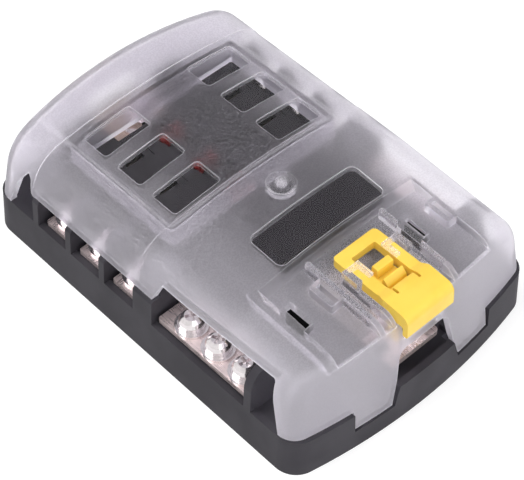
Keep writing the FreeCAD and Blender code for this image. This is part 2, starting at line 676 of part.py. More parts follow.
def fuse_holder():
    """Black raised deck that covers the bus bars and carries the six fuse seats."""
    body = deck_outline(0, FLOOR_Z, DECK_TOP_Z)
    trough_ends = (ROWS_NEAR_Y + DECK_WALL / 2, ROWS_FAR_Y - DECK_WALL / 2)
    trough_wall_x = TROUGH_HALF_WIDTH + DECK_WALL
    void = deck_outline(DECK_WALL, FLOOR_Z, DECK_UNDER_Z)
    void = void.cut(box(-trough_wall_x, trough_wall_x, trough_ends[0] - DECK_WALL, DECK_FAR_Y,
                        TROUGH_UNDER_Z, DECK_UNDER_Z))
    trough = plan_block(-TROUGH_HALF_WIDTH, TROUGH_HALF_WIDTH, *trough_ends,
                        TROUGH_Z, DECK_TOP_Z, TROUGH_ROUND)
    bosses = [rod(x, y, FLOOR_Z, DECK_UNDER_Z, DECK_BOSS_RADIUS) for x, y in deck_screw_spots()]
    catches = both_sides(box(LATCH_LEG_X + LATCH_LEG_THICK / 2 + 4 * FIT, CHANNEL_HALF_WIDTH,
                             -CHEEK_END_Y, -CHEEK_END_Y + LATCH_LEG_WIDTH,
                             BUS_TOP_Z + 2 * BUS_THICK, DECK_TOP_Z))
    body = body.cut([void, trough]).multiFuse(bosses + catches)

    cuts = []
    slot_half = BLADE_HALF + SLOT_CLEARANCE
    slot_thick = BLADE_THICK / 2 + SLOT_CLEARANCE
    for y in ROW_YS:
        seat = plan_block(FUSE_X - FUSE_LENGTH / 2, FUSE_X + FUSE_LENGTH / 2,
                          y - FUSE_THICK / 2, y + FUSE_THICK / 2,
                          DECK_TOP_Z - SEAT_DEPTH, DECK_TOP_Z, SEAT_ROUND)
        cuts += both_sides(seat)
        for x in (INNER_BLADE_X, OUTER_BLADE_X):
            cuts += both_sides(box(x - slot_half, x + slot_half, y - slot_thick, y + slot_thick,
                                   FLOOR_Z, DECK_TOP_Z))
        cuts += both_sides(rod(LED_X, y, FLOOR_Z, DECK_TOP_Z, LED_RADIUS + BORE_CLEARANCE))
        half = OUTPUT_WIDTH / 2 + FIT
        cuts += both_sides(box(DECK_HALF_WIDTH - 2 * DECK_WALL, DECK_HALF_WIDTH, y - half, y + half,
                               FLOOR_Z, OUTPUT_TOP_Z + FIT))
    cross = EARTH_CROSS_WIDTH / 2 + FIT
    cuts.append(box(-DECK_HALF_WIDTH, DECK_HALF_WIDTH, EARTH_MIDDLE_Y - cross, EARTH_MIDDLE_Y + cross,
                    FLOOR_Z, BUS_TOP_Z + FIT))
    seat_x = CHANNEL_HALF_WIDTH - DECK_WALL + FIT
    for y, wall in ((DECK_FAR_Y, -2 * DECK_WALL), (CHANNEL_START_Y, DECK_WALL)):
        cuts.append(box(-seat_x, seat_x, y, y + wall, FLOOR_Z, BUS_TOP_Z + FIT))
    screw_top_z = FLOOR_UNDER_Z + DECK_SCREW_LENGTH
    cuts += [rod(x, y, FLOOR_Z, screw_top_z, DECK_SCREW_RADIUS) for x, y in deck_screw_spots()]
    return body.cut(cuts).removeSplitter()


def positive_bus():
    """Flat bus under the fuse rows with a tongue to the +Y stud."""
    half_x = INNER_BLADE_X + BLADE_HALF
    plate = join([
        box(-half_x, half_x, ROW_YS[-1] - BLADE_HALF, ROW_YS[0] + BLADE_HALF, BUS_UNDER_Z, BUS_TOP_Z),
        plan_block(-FEED_TONGUE_HALF_WIDTH, FEED_TONGUE_HALF_WIDTH, ROW_YS[0], FEED_TONGUE_END_Y,
                   BUS_UNDER_Z, BUS_TOP_Z, 2 * PLATE_ROUND),
    ])
    return plate.cut(rod(0, STUD_Y, 0, CROWN_Z, STUD_RADIUS + BORE_CLEARANCE))


def negative_bus():
    """Flat stamping: two side strips for the earth screws, a cross bar and the tongue to the -Y stud."""
    strip = plan_block(DECK_HALF_WIDTH + FIT, EARTH_EDGE_X, EARTH_NEAR_Y, EARTH_FAR_Y,
                       BUS_UNDER_Z, BUS_TOP_Z, PLATE_ROUND)
    cross = box(-DECK_HALF_WIDTH - WALL, DECK_HALF_WIDTH + WALL, EARTH_MIDDLE_Y - EARTH_CROSS_WIDTH / 2,
                EARTH_MIDDLE_Y + EARTH_CROSS_WIDTH / 2, BUS_UNDER_Z, BUS_TOP_Z)
    tongue = plan_block(-FEED_TONGUE_HALF_WIDTH, FEED_TONGUE_HALF_WIDTH, -FEED_TONGUE_END_Y, EARTH_MIDDLE_Y,
                        BUS_UNDER_Z, BUS_TOP_Z, 2 * PLATE_ROUND)
    plate = join(both_sides(strip) + [cross, tongue])
    holes = [rod(0, -STUD_Y, 0, CROWN_Z, STUD_RADIUS + BORE_CLEARANCE)]
    for y in EARTH_SCREW_YS:
        holes += both_sides(rod(EARTH_SCREW_X, y, 0, CROWN_Z, SCREW_RADIUS + BORE_CLEARANCE))
    return plate.cut(holes)


def output_plate(side, y):
    """Strip from a fuse's outer clip to its screw terminal in the side opening."""
    half = OUTPUT_WIDTH / 2
    inner_x = OUTER_BLADE_X - BLADE_HALF
    wide = plan_block(DECK_HALF_WIDTH - DECK_WALL, OUTPUT_EDGE_X, y - half, y + half,
                      OUTPUT_UNDER_Z, OUTPUT_TOP_Z, PLATE_ROUND)
    narrow = box(inner_x, DECK_HALF_WIDTH, y - BLADE_HALF, y + BLADE_HALF, OUTPUT_UNDER_Z, OUTPUT_TOP_Z)
    plate = join([wide, narrow]).cut(rod(OUTPUT_SCREW_X, y, 0, CROWN_Z, SCREW_RADIUS + BORE_CLEARANCE))
    return plate if side > 0 else mirrored_x(plate)


def fuse_clip(x, y, foot_z):
    """Folded spring clip for one fuse blade: two leaves that pinch near the top and flare at the mouth."""
    top_z = DECK_UNDER_Z - CLIP_TOP_GAP
    pinch_z = top_z - 2 * CLIP_THICK
    grip = BLADE_THICK / 2
    base = BLADE_THICK + CLIP_THICK
    right = [
        (base + CLIP_THICK, foot_z), (grip + CLIP_THICK, pinch_z), (base + CLIP_THICK / 2, top_z),
        (base - CLIP_THICK / 2, top_z), (grip, pinch_z), (base, foot_z + CLIP_THICK),
    ]
    left = [(-v, z) for v, z in reversed(right)]
    points = [(y + v, z) for v, z in right + left]
    return side_profile(points, [0] * len(points), x - BLADE_HALF, x + BLADE_HALF)


def indicator_led(side, y):
    """Red lamp: flange on the board, body and dome standing in the trough."""
    foot = TROUGH_UNDER_Z - LED_FLANGE_THICK
    neck_z = LED_TOP_Z - LED_RADIUS
    x = side * LED_X
    flange = rod(x, y, foot, TROUGH_UNDER_Z, LED_FLANGE_RADIUS)
    stem = rod(x, y, foot, neck_z, LED_RADIUS)
    dome = Part.makeSphere(LED_RADIUS, Vector(x, y, neck_z))
    return join([flange, stem, dome])


def indicator_board():
    top = TROUGH_UNDER_Z - LED_FLANGE_THICK
    return box(-BOARD_HALF_WIDTH, BOARD_HALF_WIDTH, ROW_YS[-1] - BLADE_WIDTH, ROW_YS[0] + BLADE_WIDTH,
               top - BOARD_THICK, top)


def indicator_resistors():
    """Six chip resistors on the board's underside, one for each lamp."""
    top = TROUGH_UNDER_Z - LED_FLANGE_THICK - BOARD_THICK
    chips = []
    for y in ROW_YS:
        chips += both_sides(box(LED_X - RESISTOR_WIDTH / 2, LED_X + RESISTOR_WIDTH / 2,
                                y - RESISTOR_LENGTH / 2, y + RESISTOR_LENGTH / 2,
                                top - RESISTOR_THICK, top))
    return Part.makeCompound(chips)


def terminal_screw():
    """Pan head screw with a cross recess, standing on the plane of its head's underside."""
    wall_z = (SCREW_HEAD_HIGH - SCREW_HEAD_ROUND) / 2
    brow_z = 2 * wall_z + SCREW_HEAD_ROUND / 3
    brow_radius = SCREW_HEAD_RADIUS - SCREW_HEAD_ROUND / 3
    top_radius = SCREW_HEAD_RADIUS - SCREW_HEAD_ROUND
    wall = rod(0, 0, 0, wall_z, SCREW_HEAD_RADIUS)
    brow = cone(0, 0, wall_z, brow_z, SCREW_HEAD_RADIUS, brow_radius)
    crown = cone(0, 0, brow_z, SCREW_HEAD_HIGH, brow_radius, top_radius)
    shank = rod(0, 0, -SCREW_LENGTH, 0, SCREW_RADIUS)
    across = CROSS_RECESS_LENGTH / 2
    along = CROSS_RECESS_WIDTH / 2
    floor = SCREW_HEAD_HIGH - CROSS_RECESS_DEPTH
    recess = [box(-across, across, -along, along, floor, SCREW_HEAD_HIGH),
              box(-along, along, -across, across, floor, SCREW_HEAD_HIGH)]
    return wall.multiFuse([brow, crown, shank]).cut(recess)


def washer(radius, thick):
    return rod(0, 0, 0, thick, radius).cut(rod(0, 0, 0, thick, SCREW_RADIUS + BORE_CLEARANCE))


def spring_washer():
    split = box(0, SPRING_RADIUS * 2, 0, SPRING_SPLIT, 0, SPRING_THICK)
    return washer(SPRING_RADIUS, SPRING_THICK).cut(split)


def square_nut():
    half = NUT_WIDTH / 2
    return box(-half, half, -half, half, -NUT_THICK, 0).cut(rod(0, 0, -NUT_THICK, 0, SCREW_RADIUS))


def spread(shape, spots, height, turn):
    """Copies of one fastener on both sides, each turned a little further than the last."""
    copies = []
    for index, (x, y, top_z) in enumerate(spots):
        for side in SIDES:
            copy = shape.copy()
            copy.rotate(Vector(0, 0, 0), Vector(0, 0, 1), turn * (2 * index + side))
            copy.translate(Vector(side * x, y, height(top_z)))
            copies.append(copy)
    return Part.makeCompound(copies)


def terminal_hardware():
    """Screws, spring washers, flat washers and nuts of the output and the earth terminals."""
    spots = terminal_spots()
    split_z = WASHER_THICK
    head_z = WASHER_THICK + SPRING_THICK
    nodes = {}
    for name, chosen in (("output", spots[:ROWS]), ("earth", spots[ROWS:])):
        nodes[name + "_washers"] = spread(washer(WASHER_RADIUS, WASHER_THICK), chosen, lambda z: z, 0)
        nodes[name + "_spring_washers"] = spread(spring_washer(), chosen, lambda z: z + split_z, SPLIT_TURN)
        nodes[name + "_screws"] = spread(terminal_screw(), chosen, lambda z: z + head_z, CROSS_TURN)
        nodes[name + "_nuts"] = spread(square_nut(), chosen, plate_under, 0)
    return nodes


def hexagon(x, y, z0, z1, flats):
    radius = flats / math.sqrt(3)
    turns = [math.radians(60 * k) for k in range(7)]
    corners = [Vector(x + radius * math.cos(turn), y + radius * math.sin(turn), z0) for turn in turns]
    return Part.Face(Part.makePolygon(corners)).extrude(Vector(0, 0, z1 - z0))


def feed_stud(end):
    y = end * STUD_Y
    half = STUD_HEAD_WIDTH / 2
    head = box(-half, half, y - half, y + half, BUS_UNDER_Z - STUD_HEAD_THICK, BUS_UNDER_Z)
    chamfer = STUD_RADIUS / 5
    shank = rod(0, y, BUS_UNDER_Z, STUD_TOP_Z - chamfer, STUD_RADIUS)
    tip = cone(0, y, STUD_TOP_Z - chamfer, STUD_TOP_Z, STUD_RADIUS, STUD_RADIUS - chamfer)
    return join([head, shank, tip])


def feed_washer(end):
    y = end * STUD_Y
    disc = rod(0, y, BUS_TOP_Z, BUS_TOP_Z + STUD_WASHER_THICK, STUD_WASHER_RADIUS)
    return disc.cut(rod(0, y, 0, CROWN_Z, STUD_RADIUS + BORE_CLEARANCE))


def feed_nut(end):
    y = end * STUD_Y
    foot = BUS_TOP_Z + STUD_WASHER_THICK
    nut = hexagon(0, y, foot, foot + STUD_NUT_THICK, STUD_NUT_FLATS)
    crown = cone(0, y, foot, foot + STUD_NUT_THICK + STUD_NUT_FLATS / 8, STUD_NUT_FLATS, STUD_NUT_FLATS / 2)
    return nut.common(crown).cut(rod(0, y, 0, CROWN_Z, STUD_RADIUS))


def deck_screws():
    """Four tapping screws from the hollow underside into the deck's bosses."""
    screws = []
    for x, y in deck_screw_spots():
        shank = rod(x, y, FLOOR_UNDER_Z, FLOOR_UNDER_Z + DECK_SCREW_LENGTH, DECK_SCREW_RADIUS)
        head = cone(x, y, FLOOR_UNDER_Z - DECK_SCREW_HEAD_HIGH, FLOOR_UNDER_Z,
                    DECK_SCREW_RADIUS, DECK_SCREW_HEAD_RADIUS)
        screws.append(join([shank, head]))
    return Part.makeCompound(screws)


def crown_z(y):
    """Height of the cover's arch on the middle plane: level, then falling towards the latch end."""
    return CROWN_Z - max(0, FALL_START_Y - y) * FALL_SLOPE


def dome_section(y, crown, offset):
    """Closed section of the cover across Y: drafted sides, round shoulders and a shallow arch."""
    lean = math.atan(COVER_SIDE_SLOPE)
    out = (math.cos(lean), math.sin(lean))
    along = (-out[1], out[0])
    foot_x = cover_side_x(0, offset)
    arch_centre_z = CROWN_Z - ARCH_RADIUS
    drop = CROWN_Z - crown

    # The shoulder's centre lies a shoulder radius inside the side face and inside the arch.
    side_reach = out[0] * cover_side_x(0) - SHOULDER_RADIUS
    toward_arch = arch_centre_z * out[1] - side_reach
    across = arch_centre_z * along[1]
    reach = ARCH_RADIUS - SHOULDER_RADIUS
    run = across + math.sqrt(reach ** 2 - toward_arch ** 2)
    centre = (out[0] * side_reach + along[0] * run, out[1] * side_reach + along[1] * run)

    radius = SHOULDER_RADIUS - offset
    to_arch = unit(centre[0], centre[1] - arch_centre_z)
    middle = unit(to_arch[0] + out[0], to_arch[1] + out[1])

    def on_shoulder(way, side):
        return Vector(side * (centre[0] + way[0] * radius), y, centre[1] + way[1] * radius - drop)

    foot = [Vector(side * foot_x, y, -drop) for side in SIDES]
    low = [on_shoulder(out, side) for side in SIDES]
    mid = [on_shoulder(middle, side) for side in SIDES]
    high = [on_shoulder(to_arch, side) for side in SIDES]
    edges = [
        Part.makeLine(foot[0], foot[1]),
        Part.makeLine(foot[1], low[1]),
        Part.Arc(low[1], mid[1], high[1]).toShape(),
        Part.Arc(high[1], Vector(0, y, CROWN_Z - offset - drop), high[0]).toShape(),
        Part.Arc(high[0], mid[0], low[0]).toShape(),
        Part.makeLine(low[0], foot[0]),
    ]
    return Part.Face(Part.Wire(edges))


def end_space(offset):
    """Everything between the cover's leaning bowed ends."""
    half_x = HALF_WIDTH + BEYOND / 2
    sections = []
    for z in (0, CROWN_Z + BEYOND / 2):
        crown = cover_end_y(0, z, offset)
        y = cover_end_y(half_x, z, offset)
        corners = [Vector(half_x, -y, z), Vector(half_x, y, z), Vector(-half_x, y, z), Vector(-half_x, -y, z)]
        edges = [
            Part.makeLine(corners[0], corners[1]),
            Part.Arc(corners[1], Vector(0, crown, z), corners[2]).toShape(),
            Part.makeLine(corners[2], corners[3]),
            Part.Arc(corners[3], Vector(0, -crown, z), corners[0]).toShape(),
        ]
        sections.append(Part.Wire(edges))
    return Part.makeLoft(sections, True, True)


def dome(offset, band_step):
    """Solid of the cover's outer form, or of the space inside it for an offset of one wall."""
    reach = HALF_LENGTH + BEYOND / 3
    spans = [(reach, BAND_FAR_Y, 0), (BAND_FAR_Y, BAND_NEAR_Y, band_step), (BAND_NEAR_Y, FALL_START_Y, 0)]
    parts = [dome_section(y0, CROWN_Z - step, offset).extrude(Vector(0, y1 - y0, 0))
             for y0, y1, step in spans]
    run = FALL_START_Y + reach
    parts.append(dome_section(FALL_START_Y, CROWN_Z, offset).extrude(Vector(0, -run, -run * FALL_SLOPE)))
    body = parts[0].multiFuse(parts[1:]).common(end_space(offset))
    ends = []
    for edge in body.Edges:
        bounds = edge.BoundBox
        from_end = HALF_LENGTH - min(abs(bounds.YMin), abs(bounds.YMax))
        if from_end < FAR_END_ROOM * 3 / 4 and bounds.YLength < CORNER_RADIUS and bounds.ZMax > RIM_Z:
            ends.append(edge)
    return body.makeFillet(COVER_END_ROUND - offset, ends)


def above_arch(y, crown, run, half_width):
    """Everything above an arch that starts at y and runs towards the latch end by the vector run."""
    sag = half_width ** 2 / (2 * ARCH_RADIUS)
    top = CROWN_Z + BEYOND
    left, right = Vector(-half_width, y, crown - sag), Vector(half_width, y, crown - sag)
    edges = [
        Part.Arc(left, Vector(0, y, crown), right).toShape(),
        Part.makeLine(right, Vector(half_width, y, top)),
        Part.makeLine(Vector(half_width, y, top), Vector(-half_width, y, top)),
        Part.makeLine(Vector(-half_width, y, top), left),
    ]
    return Part.Face(Part.Wire(edges)).extrude(run)


def latch_bay(offset):
    """Space of the sunken bay, which runs out through the latch end."""
    half_width = BAY_HALF_WIDTH + offset
    start_y = BAY_START_Y + offset
    floor_y = start_y - BAY_RAMP
    start_crown = crown_z(BAY_START_Y) - offset
    ramp_fall = BAY_DEPTH + BAY_RAMP * FALL_SLOPE
    ramp = above_arch(start_y, start_crown, Vector(0, -BAY_RAMP, -ramp_fall), half_width)
    run = HALF_LENGTH + BEYOND / 3 + floor_y
    floor = above_arch(floor_y, start_crown - ramp_fall, Vector(0, -run, -run * FALL_SLOPE), half_width)
    return ramp.fuse(floor)


def window(x0, x1, y0, y1, radius):
    return plan_block(x0, x1, y0, y1, BUS_TOP_Z, CROWN_Z + BEYOND, radius)


def clear_windows():
    """Upright prisms of the seven windows."""
    windows = []
    for y in ROW_YS:
        middle = y + WINDOW_SHIFT_Y
        windows += both_sides(window(WINDOW_INNER_X, WINDOW_OUTER_X, middle - WINDOW_LENGTH / 2,
                                     middle + WINDOW_LENGTH / 2, WINDOW_ROUND))
    windows.append(window(-BIG_WINDOW_HALF_WIDTH, BIG_WINDOW_HALF_WIDTH,
                          BIG_WINDOW_NEAR_Y, BIG_WINDOW_FAR_Y, BIG_WINDOW_ROUND))
    return windows


def side_cut():
    """Profile cut from the cover's +X side: output openings, tooth, earth opening and corner notch."""
    foot_z = -BEYOND / 10
    points = [
        (-CORNER_FOOT_Y, foot_z), (-CORNER_FOOT_Y, RIM_Z), (EARTH_JAMB_Y, EARTH_EDGE_Z),
        (TOOTH_TOP_Y, EARTH_EDGE_Z), (TOOTH_TIP_Y, SIDE_EDGE_Z), (NOTCH_IN_Y - NOTCH_LEAD, SIDE_EDGE_Z),
        (NOTCH_IN_Y, SIDE_EDGE_Z - NOTCH_STEP), (NOTCH_IN_Y + NOTCH_LEAN, NOTCH_TOP_Z - NOTCH_CHAMFER),
        (NOTCH_TOP_Y, NOTCH_TOP_Z), (NOTCH_KNEE_Y, NOTCH_KNEE_Z),
        (NOTCH_FOOT_Y, RIM_Z + NOTCH_STEP), (NOTCH_FOOT_Y, foot_z),
    ]
    radii = [0, 0, 1.0, 0.5, 0.4, 1.5, 1.2, 0.6, 0.6, 4.0, 0, 0]
    return side_profile(points, radii, SKIRT_HALF_WIDTH, HALF_WIDTH + BEYOND)


def cable_cut(end):
    """Cable opening in one end wall of the cover."""
    foot_z = -BEYOND / 10
    right = [
        (CABLE_FOOT_X, foot_z), (CABLE_FOOT_X, TAB_FOOT_Z),
        (CABLE_KNEE_X, CABLE_KNEE_Z), (CABLE_TOP_X, CABLE_TOP_Z),
    ]
    points = right + [(-x, z) for x, z in reversed(right)]
    radii = [0, 0, 1.0, CABLE_ROUND, CABLE_ROUND, 1.0, 0, 0]
    return end_profile(points, radii, end * CHEEK_END_Y, end * (HALF_LENGTH + BEYOND))


def below_rim(seat_z):
    """Space under the cover's seat, apart from the four locating tabs."""
    reach_x = HALF_WIDTH + BEYOND
    reach_y = HALF_LENGTH + BEYOND
    space = box(-reach_x, reach_x, -reach_y, reach_y, -BEYOND, seat_z)
    tabs = []
    for end in SIDES:
        tabs += both_sides(box(0, TAB_OUTER_X, end * CHEEK_END_Y, end * reach_y, TAB_FOOT_Z, seat_z))
    return space.cut(tabs)


def fins():
    """Ribs of the latch bay and the raised holders of spare fuses, up to the dome's surface."""
    half = FIN_THICK / 2
    blocks = both_sides(plan_block(FIN_X - half, FIN_X + half, -HALF_LENGTH, FIN_START_Y,
                                   RIM_Z, CROWN_Z, half * NEARLY_ROUND))
    y0 = SPARE_SLOT_Y + SPARE_BOSS_SHIFT - SPARE_BOSS_LENGTH / 2
    y1 = SPARE_SLOT_Y + SPARE_BOSS_SHIFT + SPARE_BOSS_LENGTH / 2
    for x0, x1 in ((FIN_X, SPARE_SLOT_INNER_X + SPARE_SLOT_WIDTH / 2 + SPARE_BOSS_SIDE),
                   (SPARE_SLOT_OUTER_X - SPARE_SLOT_WIDTH / 2 - SPARE_BOSS_SIDE, BAY_HALF_WIDTH + FIN_THICK)):
        blocks += both_sides(plan_block(x0, x1, y0, y1, RIM_Z, CROWN_Z, SPARE_BOSS_ROUND))
    return blocks


def guides():
    """Low rails beside the latch."""
    inner_x = LATCH_HEAD_HALF_WIDTH + GUIDE_GAP
    return both_sides(plan_block(inner_x, inner_x + GUIDE_THICK, GUIDE_END_Y, HOOK_FAR_Y, RIM_Z,
                                 LATCH_TOP_Z - GUIDE_THICK, GUIDE_THICK / 2 * NEARLY_ROUND))


def hooks():
    """Clear hooks that stand beside the latch rails and reach over them."""
    foot_x = LATCH_HALF_WIDTH + GUIDE_GAP
    outer_x = LATCH_HEAD_HALF_WIDTH + GUIDE_GAP + GUIDE_THICK
    under = LATCH_TOP_Z + LATCH_RIDE_GAP
    top = under + HOOK_THICK
    foot_z = crown_z(HOOK_NEAR_Y) - BAY_DEPTH - COVER_WALL / 2
    post = box(foot_x, outer_x, HOOK_NEAR_Y, HOOK_FAR_Y, foot_z, top)
    across = box(HOOK_INNER_X, outer_x, HOOK_FAR_Y - HOOK_WIDTH, HOOK_FAR_Y, under, top)
    along = box(HOOK_INNER_X, HOOK_INNER_X + HOOK_WIDTH, HOOK_NEAR_Y, HOOK_FAR_Y, under, top)
    return both_sides(join([post, across, along]))


def cover():
    """Frosted cover, one moulding with clear windows, side cut-outs, inner skirt and latch bay."""
    outer = dome(0, BAND_STEP)
    sunk = dome(WINDOW_SINK, BAND_STEP)
    raised = [block.common(outer) for block in fins() + guides()]
    panes = [prism.common(outer).cut(sunk) for prism in clear_windows()]
    ball_radius = (DIMPLE_RADIUS ** 2 + DIMPLE_DEPTH ** 2) / (2 * DIMPLE_DEPTH)
    dimple = Part.makeSphere(ball_radius, Vector(0, DIMPLE_Y, crown_z(DIMPLE_Y) - DIMPLE_DEPTH + ball_radius))
    outer = outer.cut([latch_bay(0)] + panes + [dimple]).multiFuse(raised)

    room = dome(COVER_WALL, 0)
    skirt_outer = plan_block(-SKIRT_HALF_WIDTH, SKIRT_HALF_WIDTH, SKIRT_NEAR_Y, SKIRT_FAR_Y,
                             SKIRT_FOOT_Z, CROWN_Z, SKIRT_ROUND)
    inner_half = SKIRT_HALF_WIDTH - SKIRT_THICK
    skirt_inner = plan_block(-inner_half, inner_half, SKIRT_NEAR_Y + SKIRT_THICK, SKIRT_FAR_Y - SKIRT_THICK,
                             SKIRT_FOOT_Z, CROWN_Z, SKIRT_ROUND / 2)
    skirt = skirt_outer.cut(skirt_inner)
    room = room.cut([latch_bay(COVER_WALL), skirt])
    shell = outer.cut(room)

    slots = []
    for x in (SPARE_SLOT_INNER_X, SPARE_SLOT_OUTER_X):
        slots += both_sides(box(x - SPARE_SLOT_WIDTH / 2, x + SPARE_SLOT_WIDTH / 2,
                                SPARE_SLOT_Y - SPARE_SLOT_LENGTH / 2, SPARE_SLOT_Y + SPARE_SLOT_LENGTH / 2,
                                RIM_Z, CROWN_Z))
    leg_gap = 2 * LATCH_RIDE_GAP
    leg_room = LATCH_LEG_THICK / 2 + leg_gap
    leg_near_y = LATCH_LEG_FAR_Y - LATCH_LEG_WIDTH - LATCH_TRAVEL - leg_gap
    slots += both_sides(box(LATCH_LEG_X - leg_room, LATCH_LEG_X + leg_room,
                            leg_near_y, LATCH_LEG_FAR_Y + leg_gap, RIM_Z, CROWN_Z))
    cuts = both_sides(side_cut()) + [cable_cut(1), cable_cut(-1), below_rim(RIM_Z + COVER_SEAT_GAP)] + slots
    return shell.cut(cuts).multiFuse(hooks()).removeSplitter()


def latch_under_z(y):
    return crown_z(y) - BAY_DEPTH + LATCH_RIDE_GAP


def latch_tongue():
    """Tongue of the latch, from its root in the head to its tip, with a broad head and a slanting ridge."""
    under_z = latch_under_z(LATCH_GAP_NEAR_Y) + TONGUE_LIFT
    root_y = LATCH_GAP_NEAR_Y - TONGUE_LIFT
    head_near_y = TONGUE_TIP_Y - TONGUE_HEAD_LENGTH
    ridge_y = TONGUE_TIP_Y - RIDGE_FROM_TIP
    ridge_near_y = ridge_y - RIDGE_LENGTH
    head = [
        (TONGUE_TIP_Y, under_z), (TONGUE_TIP_Y, TONGUE_HEAD_TOP_Z),
        (head_near_y, TONGUE_HEAD_TOP_Z - TONGUE_DRAFT), (head_near_y - TONGUE_DRAFT, TONGUE_FLOOR_Z),
        (head_near_y - TONGUE_DRAFT, under_z),
    ]
    body = [
        (TONGUE_TIP_Y - TONGUE_DRAFT, under_z), (TONGUE_TIP_Y - TONGUE_DRAFT, TONGUE_FLOOR_Z),
        (ridge_y + TONGUE_DRAFT, TONGUE_FLOOR_Z), (ridge_y, RIDGE_TOP_Z), (ridge_near_y, RIDGE_FOOT_Z),
        (ridge_near_y - TONGUE_DRAFT, TONGUE_FLOOR_Z), (root_y, TONGUE_FLOOR_Z), (root_y, under_z),
    ]
    soft = TONGUE_ROUND
    return join([
        side_profile(head, [0, soft, soft, 0, 0], -TONGUE_HEAD_HALF_WIDTH, TONGUE_HEAD_HALF_WIDTH),
        side_profile(body, [0, 0, 0, soft, soft, 0, 0, 0], -TONGUE_HALF_WIDTH, TONGUE_HALF_WIDTH),
    ])


def cover_latch():
    """Yellow sliding latch: frame with a tongue, a broad head and a lip over the cover's end."""
    lip_in_y = LATCH_LIP_Y + LATCH_LIP_THICK
    points = [
        (LATCH_FAR_Y, latch_under_z(LATCH_FAR_Y)), (LATCH_FAR_Y, LATCH_TOP_Z),
        (LATCH_HEAD_Y + LATCH_HEAD_RISE, LATCH_TOP_Z), (LATCH_HEAD_Y, LATCH_HEAD_TOP_Z),
        (LATCH_LIP_Y + LATCH_HEAD_FALL, LATCH_HEAD_TOP_Z - LATCH_HEAD_FALL),
        (LATCH_LIP_Y, LATCH_LIP_FOOT_Z),
        (lip_in_y, LATCH_LIP_FOOT_Z), (lip_in_y, latch_under_z(lip_in_y)),
    ]
    small = LATCH_TOP_ROUND
    radii = [0, small, LATCH_HEAD_RISE * 5 / 6, LATCH_HEAD_RISE * 5 / 3, LATCH_LIP_ROUND, small, small, small]
    body = side_profile(points, radii, -LATCH_HEAD_HALF_WIDTH, LATCH_HEAD_HALF_WIDTH)
    frame_x = LATCH_HALF_WIDTH
    head_x = LATCH_HEAD_HALF_WIDTH
    flare = LATCH_HEAD_FLARE
    right = [(head_x, LATCH_LIP_Y - LATCH_ROUND), (head_x, LATCH_HEAD_Y),
             (frame_x, LATCH_HEAD_Y + flare), (frame_x, LATCH_FAR_Y)]
    outline = right + [(-x, y) for x, y in reversed(right)]
    radii = [0, flare, flare, LATCH_ROUND, LATCH_ROUND, flare, flare, 0]
    plan = rounded_face(outline, radii, lambda u, v: Vector(u, v, 0))
    body = body.common(plan.extrude(Vector(0, 0, CROWN_Z + BEYOND)))

    gap_x = LATCH_HALF_WIDTH - LATCH_RAIL
    gap = plan_block(-gap_x, gap_x, LATCH_GAP_NEAR_Y, LATCH_GAP_FAR_Y, RIM_Z, CROWN_Z + BEYOND, small)
    relief = plan_block(gap_x - RELIEF_WIDTH, gap_x, LATCH_GAP_NEAR_Y - RELIEF_LENGTH,
                        LATCH_GAP_NEAR_Y + 2 * small, RIM_Z, CROWN_Z + BEYOND, RELIEF_WIDTH / 3)
    body = body.cut([gap] + both_sides(relief))

    top = latch_under_z(LATCH_LEG_FAR_Y) + LATCH_LEG_THICK
    leg = box(LATCH_LEG_X - LATCH_LEG_THICK / 2, LATCH_LEG_X + LATCH_LEG_THICK / 2,
              LATCH_LEG_FAR_Y - LATCH_LEG_WIDTH, LATCH_LEG_FAR_Y, LATCH_LEG_FOOT_Z, top)
    return body.multiFuse([latch_tongue()] + both_sides(leg)).removeSplitter()


def sub_parts():
    """Every piece under its node name."""
    nodes = {
        "base_housing": base_housing(),
        "bottom_plate": bottom_plate(),
        "fuse_holder": fuse_holder(),
        "deck_screws": deck_screws(),
        "cover": cover(),
        "cover_latch": cover_latch(),
        "positive_bus": positive_bus(),
        "negative_bus": negative_bus(),
        "indicator_board": indicator_board(),
        "indicator_resistors": indicator_resistors(),
    }
    circuits = [(side, y) for side in SIDES for y in ROW_YS]
    for number, (side, y) in enumerate(circuits, start=1):
        nodes[f"output_plate_{number}"] = output_plate(side, y)
        nodes[f"input_clip_{number}"] = fuse_clip(side * INNER_BLADE_X, y, BUS_TOP_Z)
        nodes[f"output_clip_{number}"] = fuse_clip(side * OUTER_BLADE_X, y, OUTPUT_TOP_Z)
        nodes[f"indicator_led_{number}"] = indicator_led(side, y)
    nodes.update(terminal_hardware())
    for name, end in (("positive", 1), ("negative", -1)):
        nodes[name + "_stud"] = feed_stud(end)
        nodes[name + "_washer"] = feed_washer(end)
        nodes[name + "_nut"] = feed_nut(end)
    return nodes


os.makedirs("parts", exist_ok=True)
for name, shape in sub_parts().items():
    shape.exportStep(f"parts/{name}.step")
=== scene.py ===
import json
import math

import bpy
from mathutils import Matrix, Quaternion, Vector


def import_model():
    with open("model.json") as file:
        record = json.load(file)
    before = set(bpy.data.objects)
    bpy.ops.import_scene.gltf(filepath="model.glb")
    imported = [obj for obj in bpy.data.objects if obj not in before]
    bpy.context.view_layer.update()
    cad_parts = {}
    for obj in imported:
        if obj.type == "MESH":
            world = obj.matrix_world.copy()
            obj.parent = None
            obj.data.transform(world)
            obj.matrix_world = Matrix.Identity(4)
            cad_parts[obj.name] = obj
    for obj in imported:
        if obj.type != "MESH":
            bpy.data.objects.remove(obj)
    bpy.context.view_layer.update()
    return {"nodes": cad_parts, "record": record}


# Fuse block under a frosted cover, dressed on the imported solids. Metres throughout.
# A name below with two places, or two values of a normal or a cosine, says where a change starts and
# where it ends. The halves, SLOT_X and SPOT_PLACE hold a number for each axis or slot instead.

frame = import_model()
nodes = frame["nodes"]

MM = 0.001

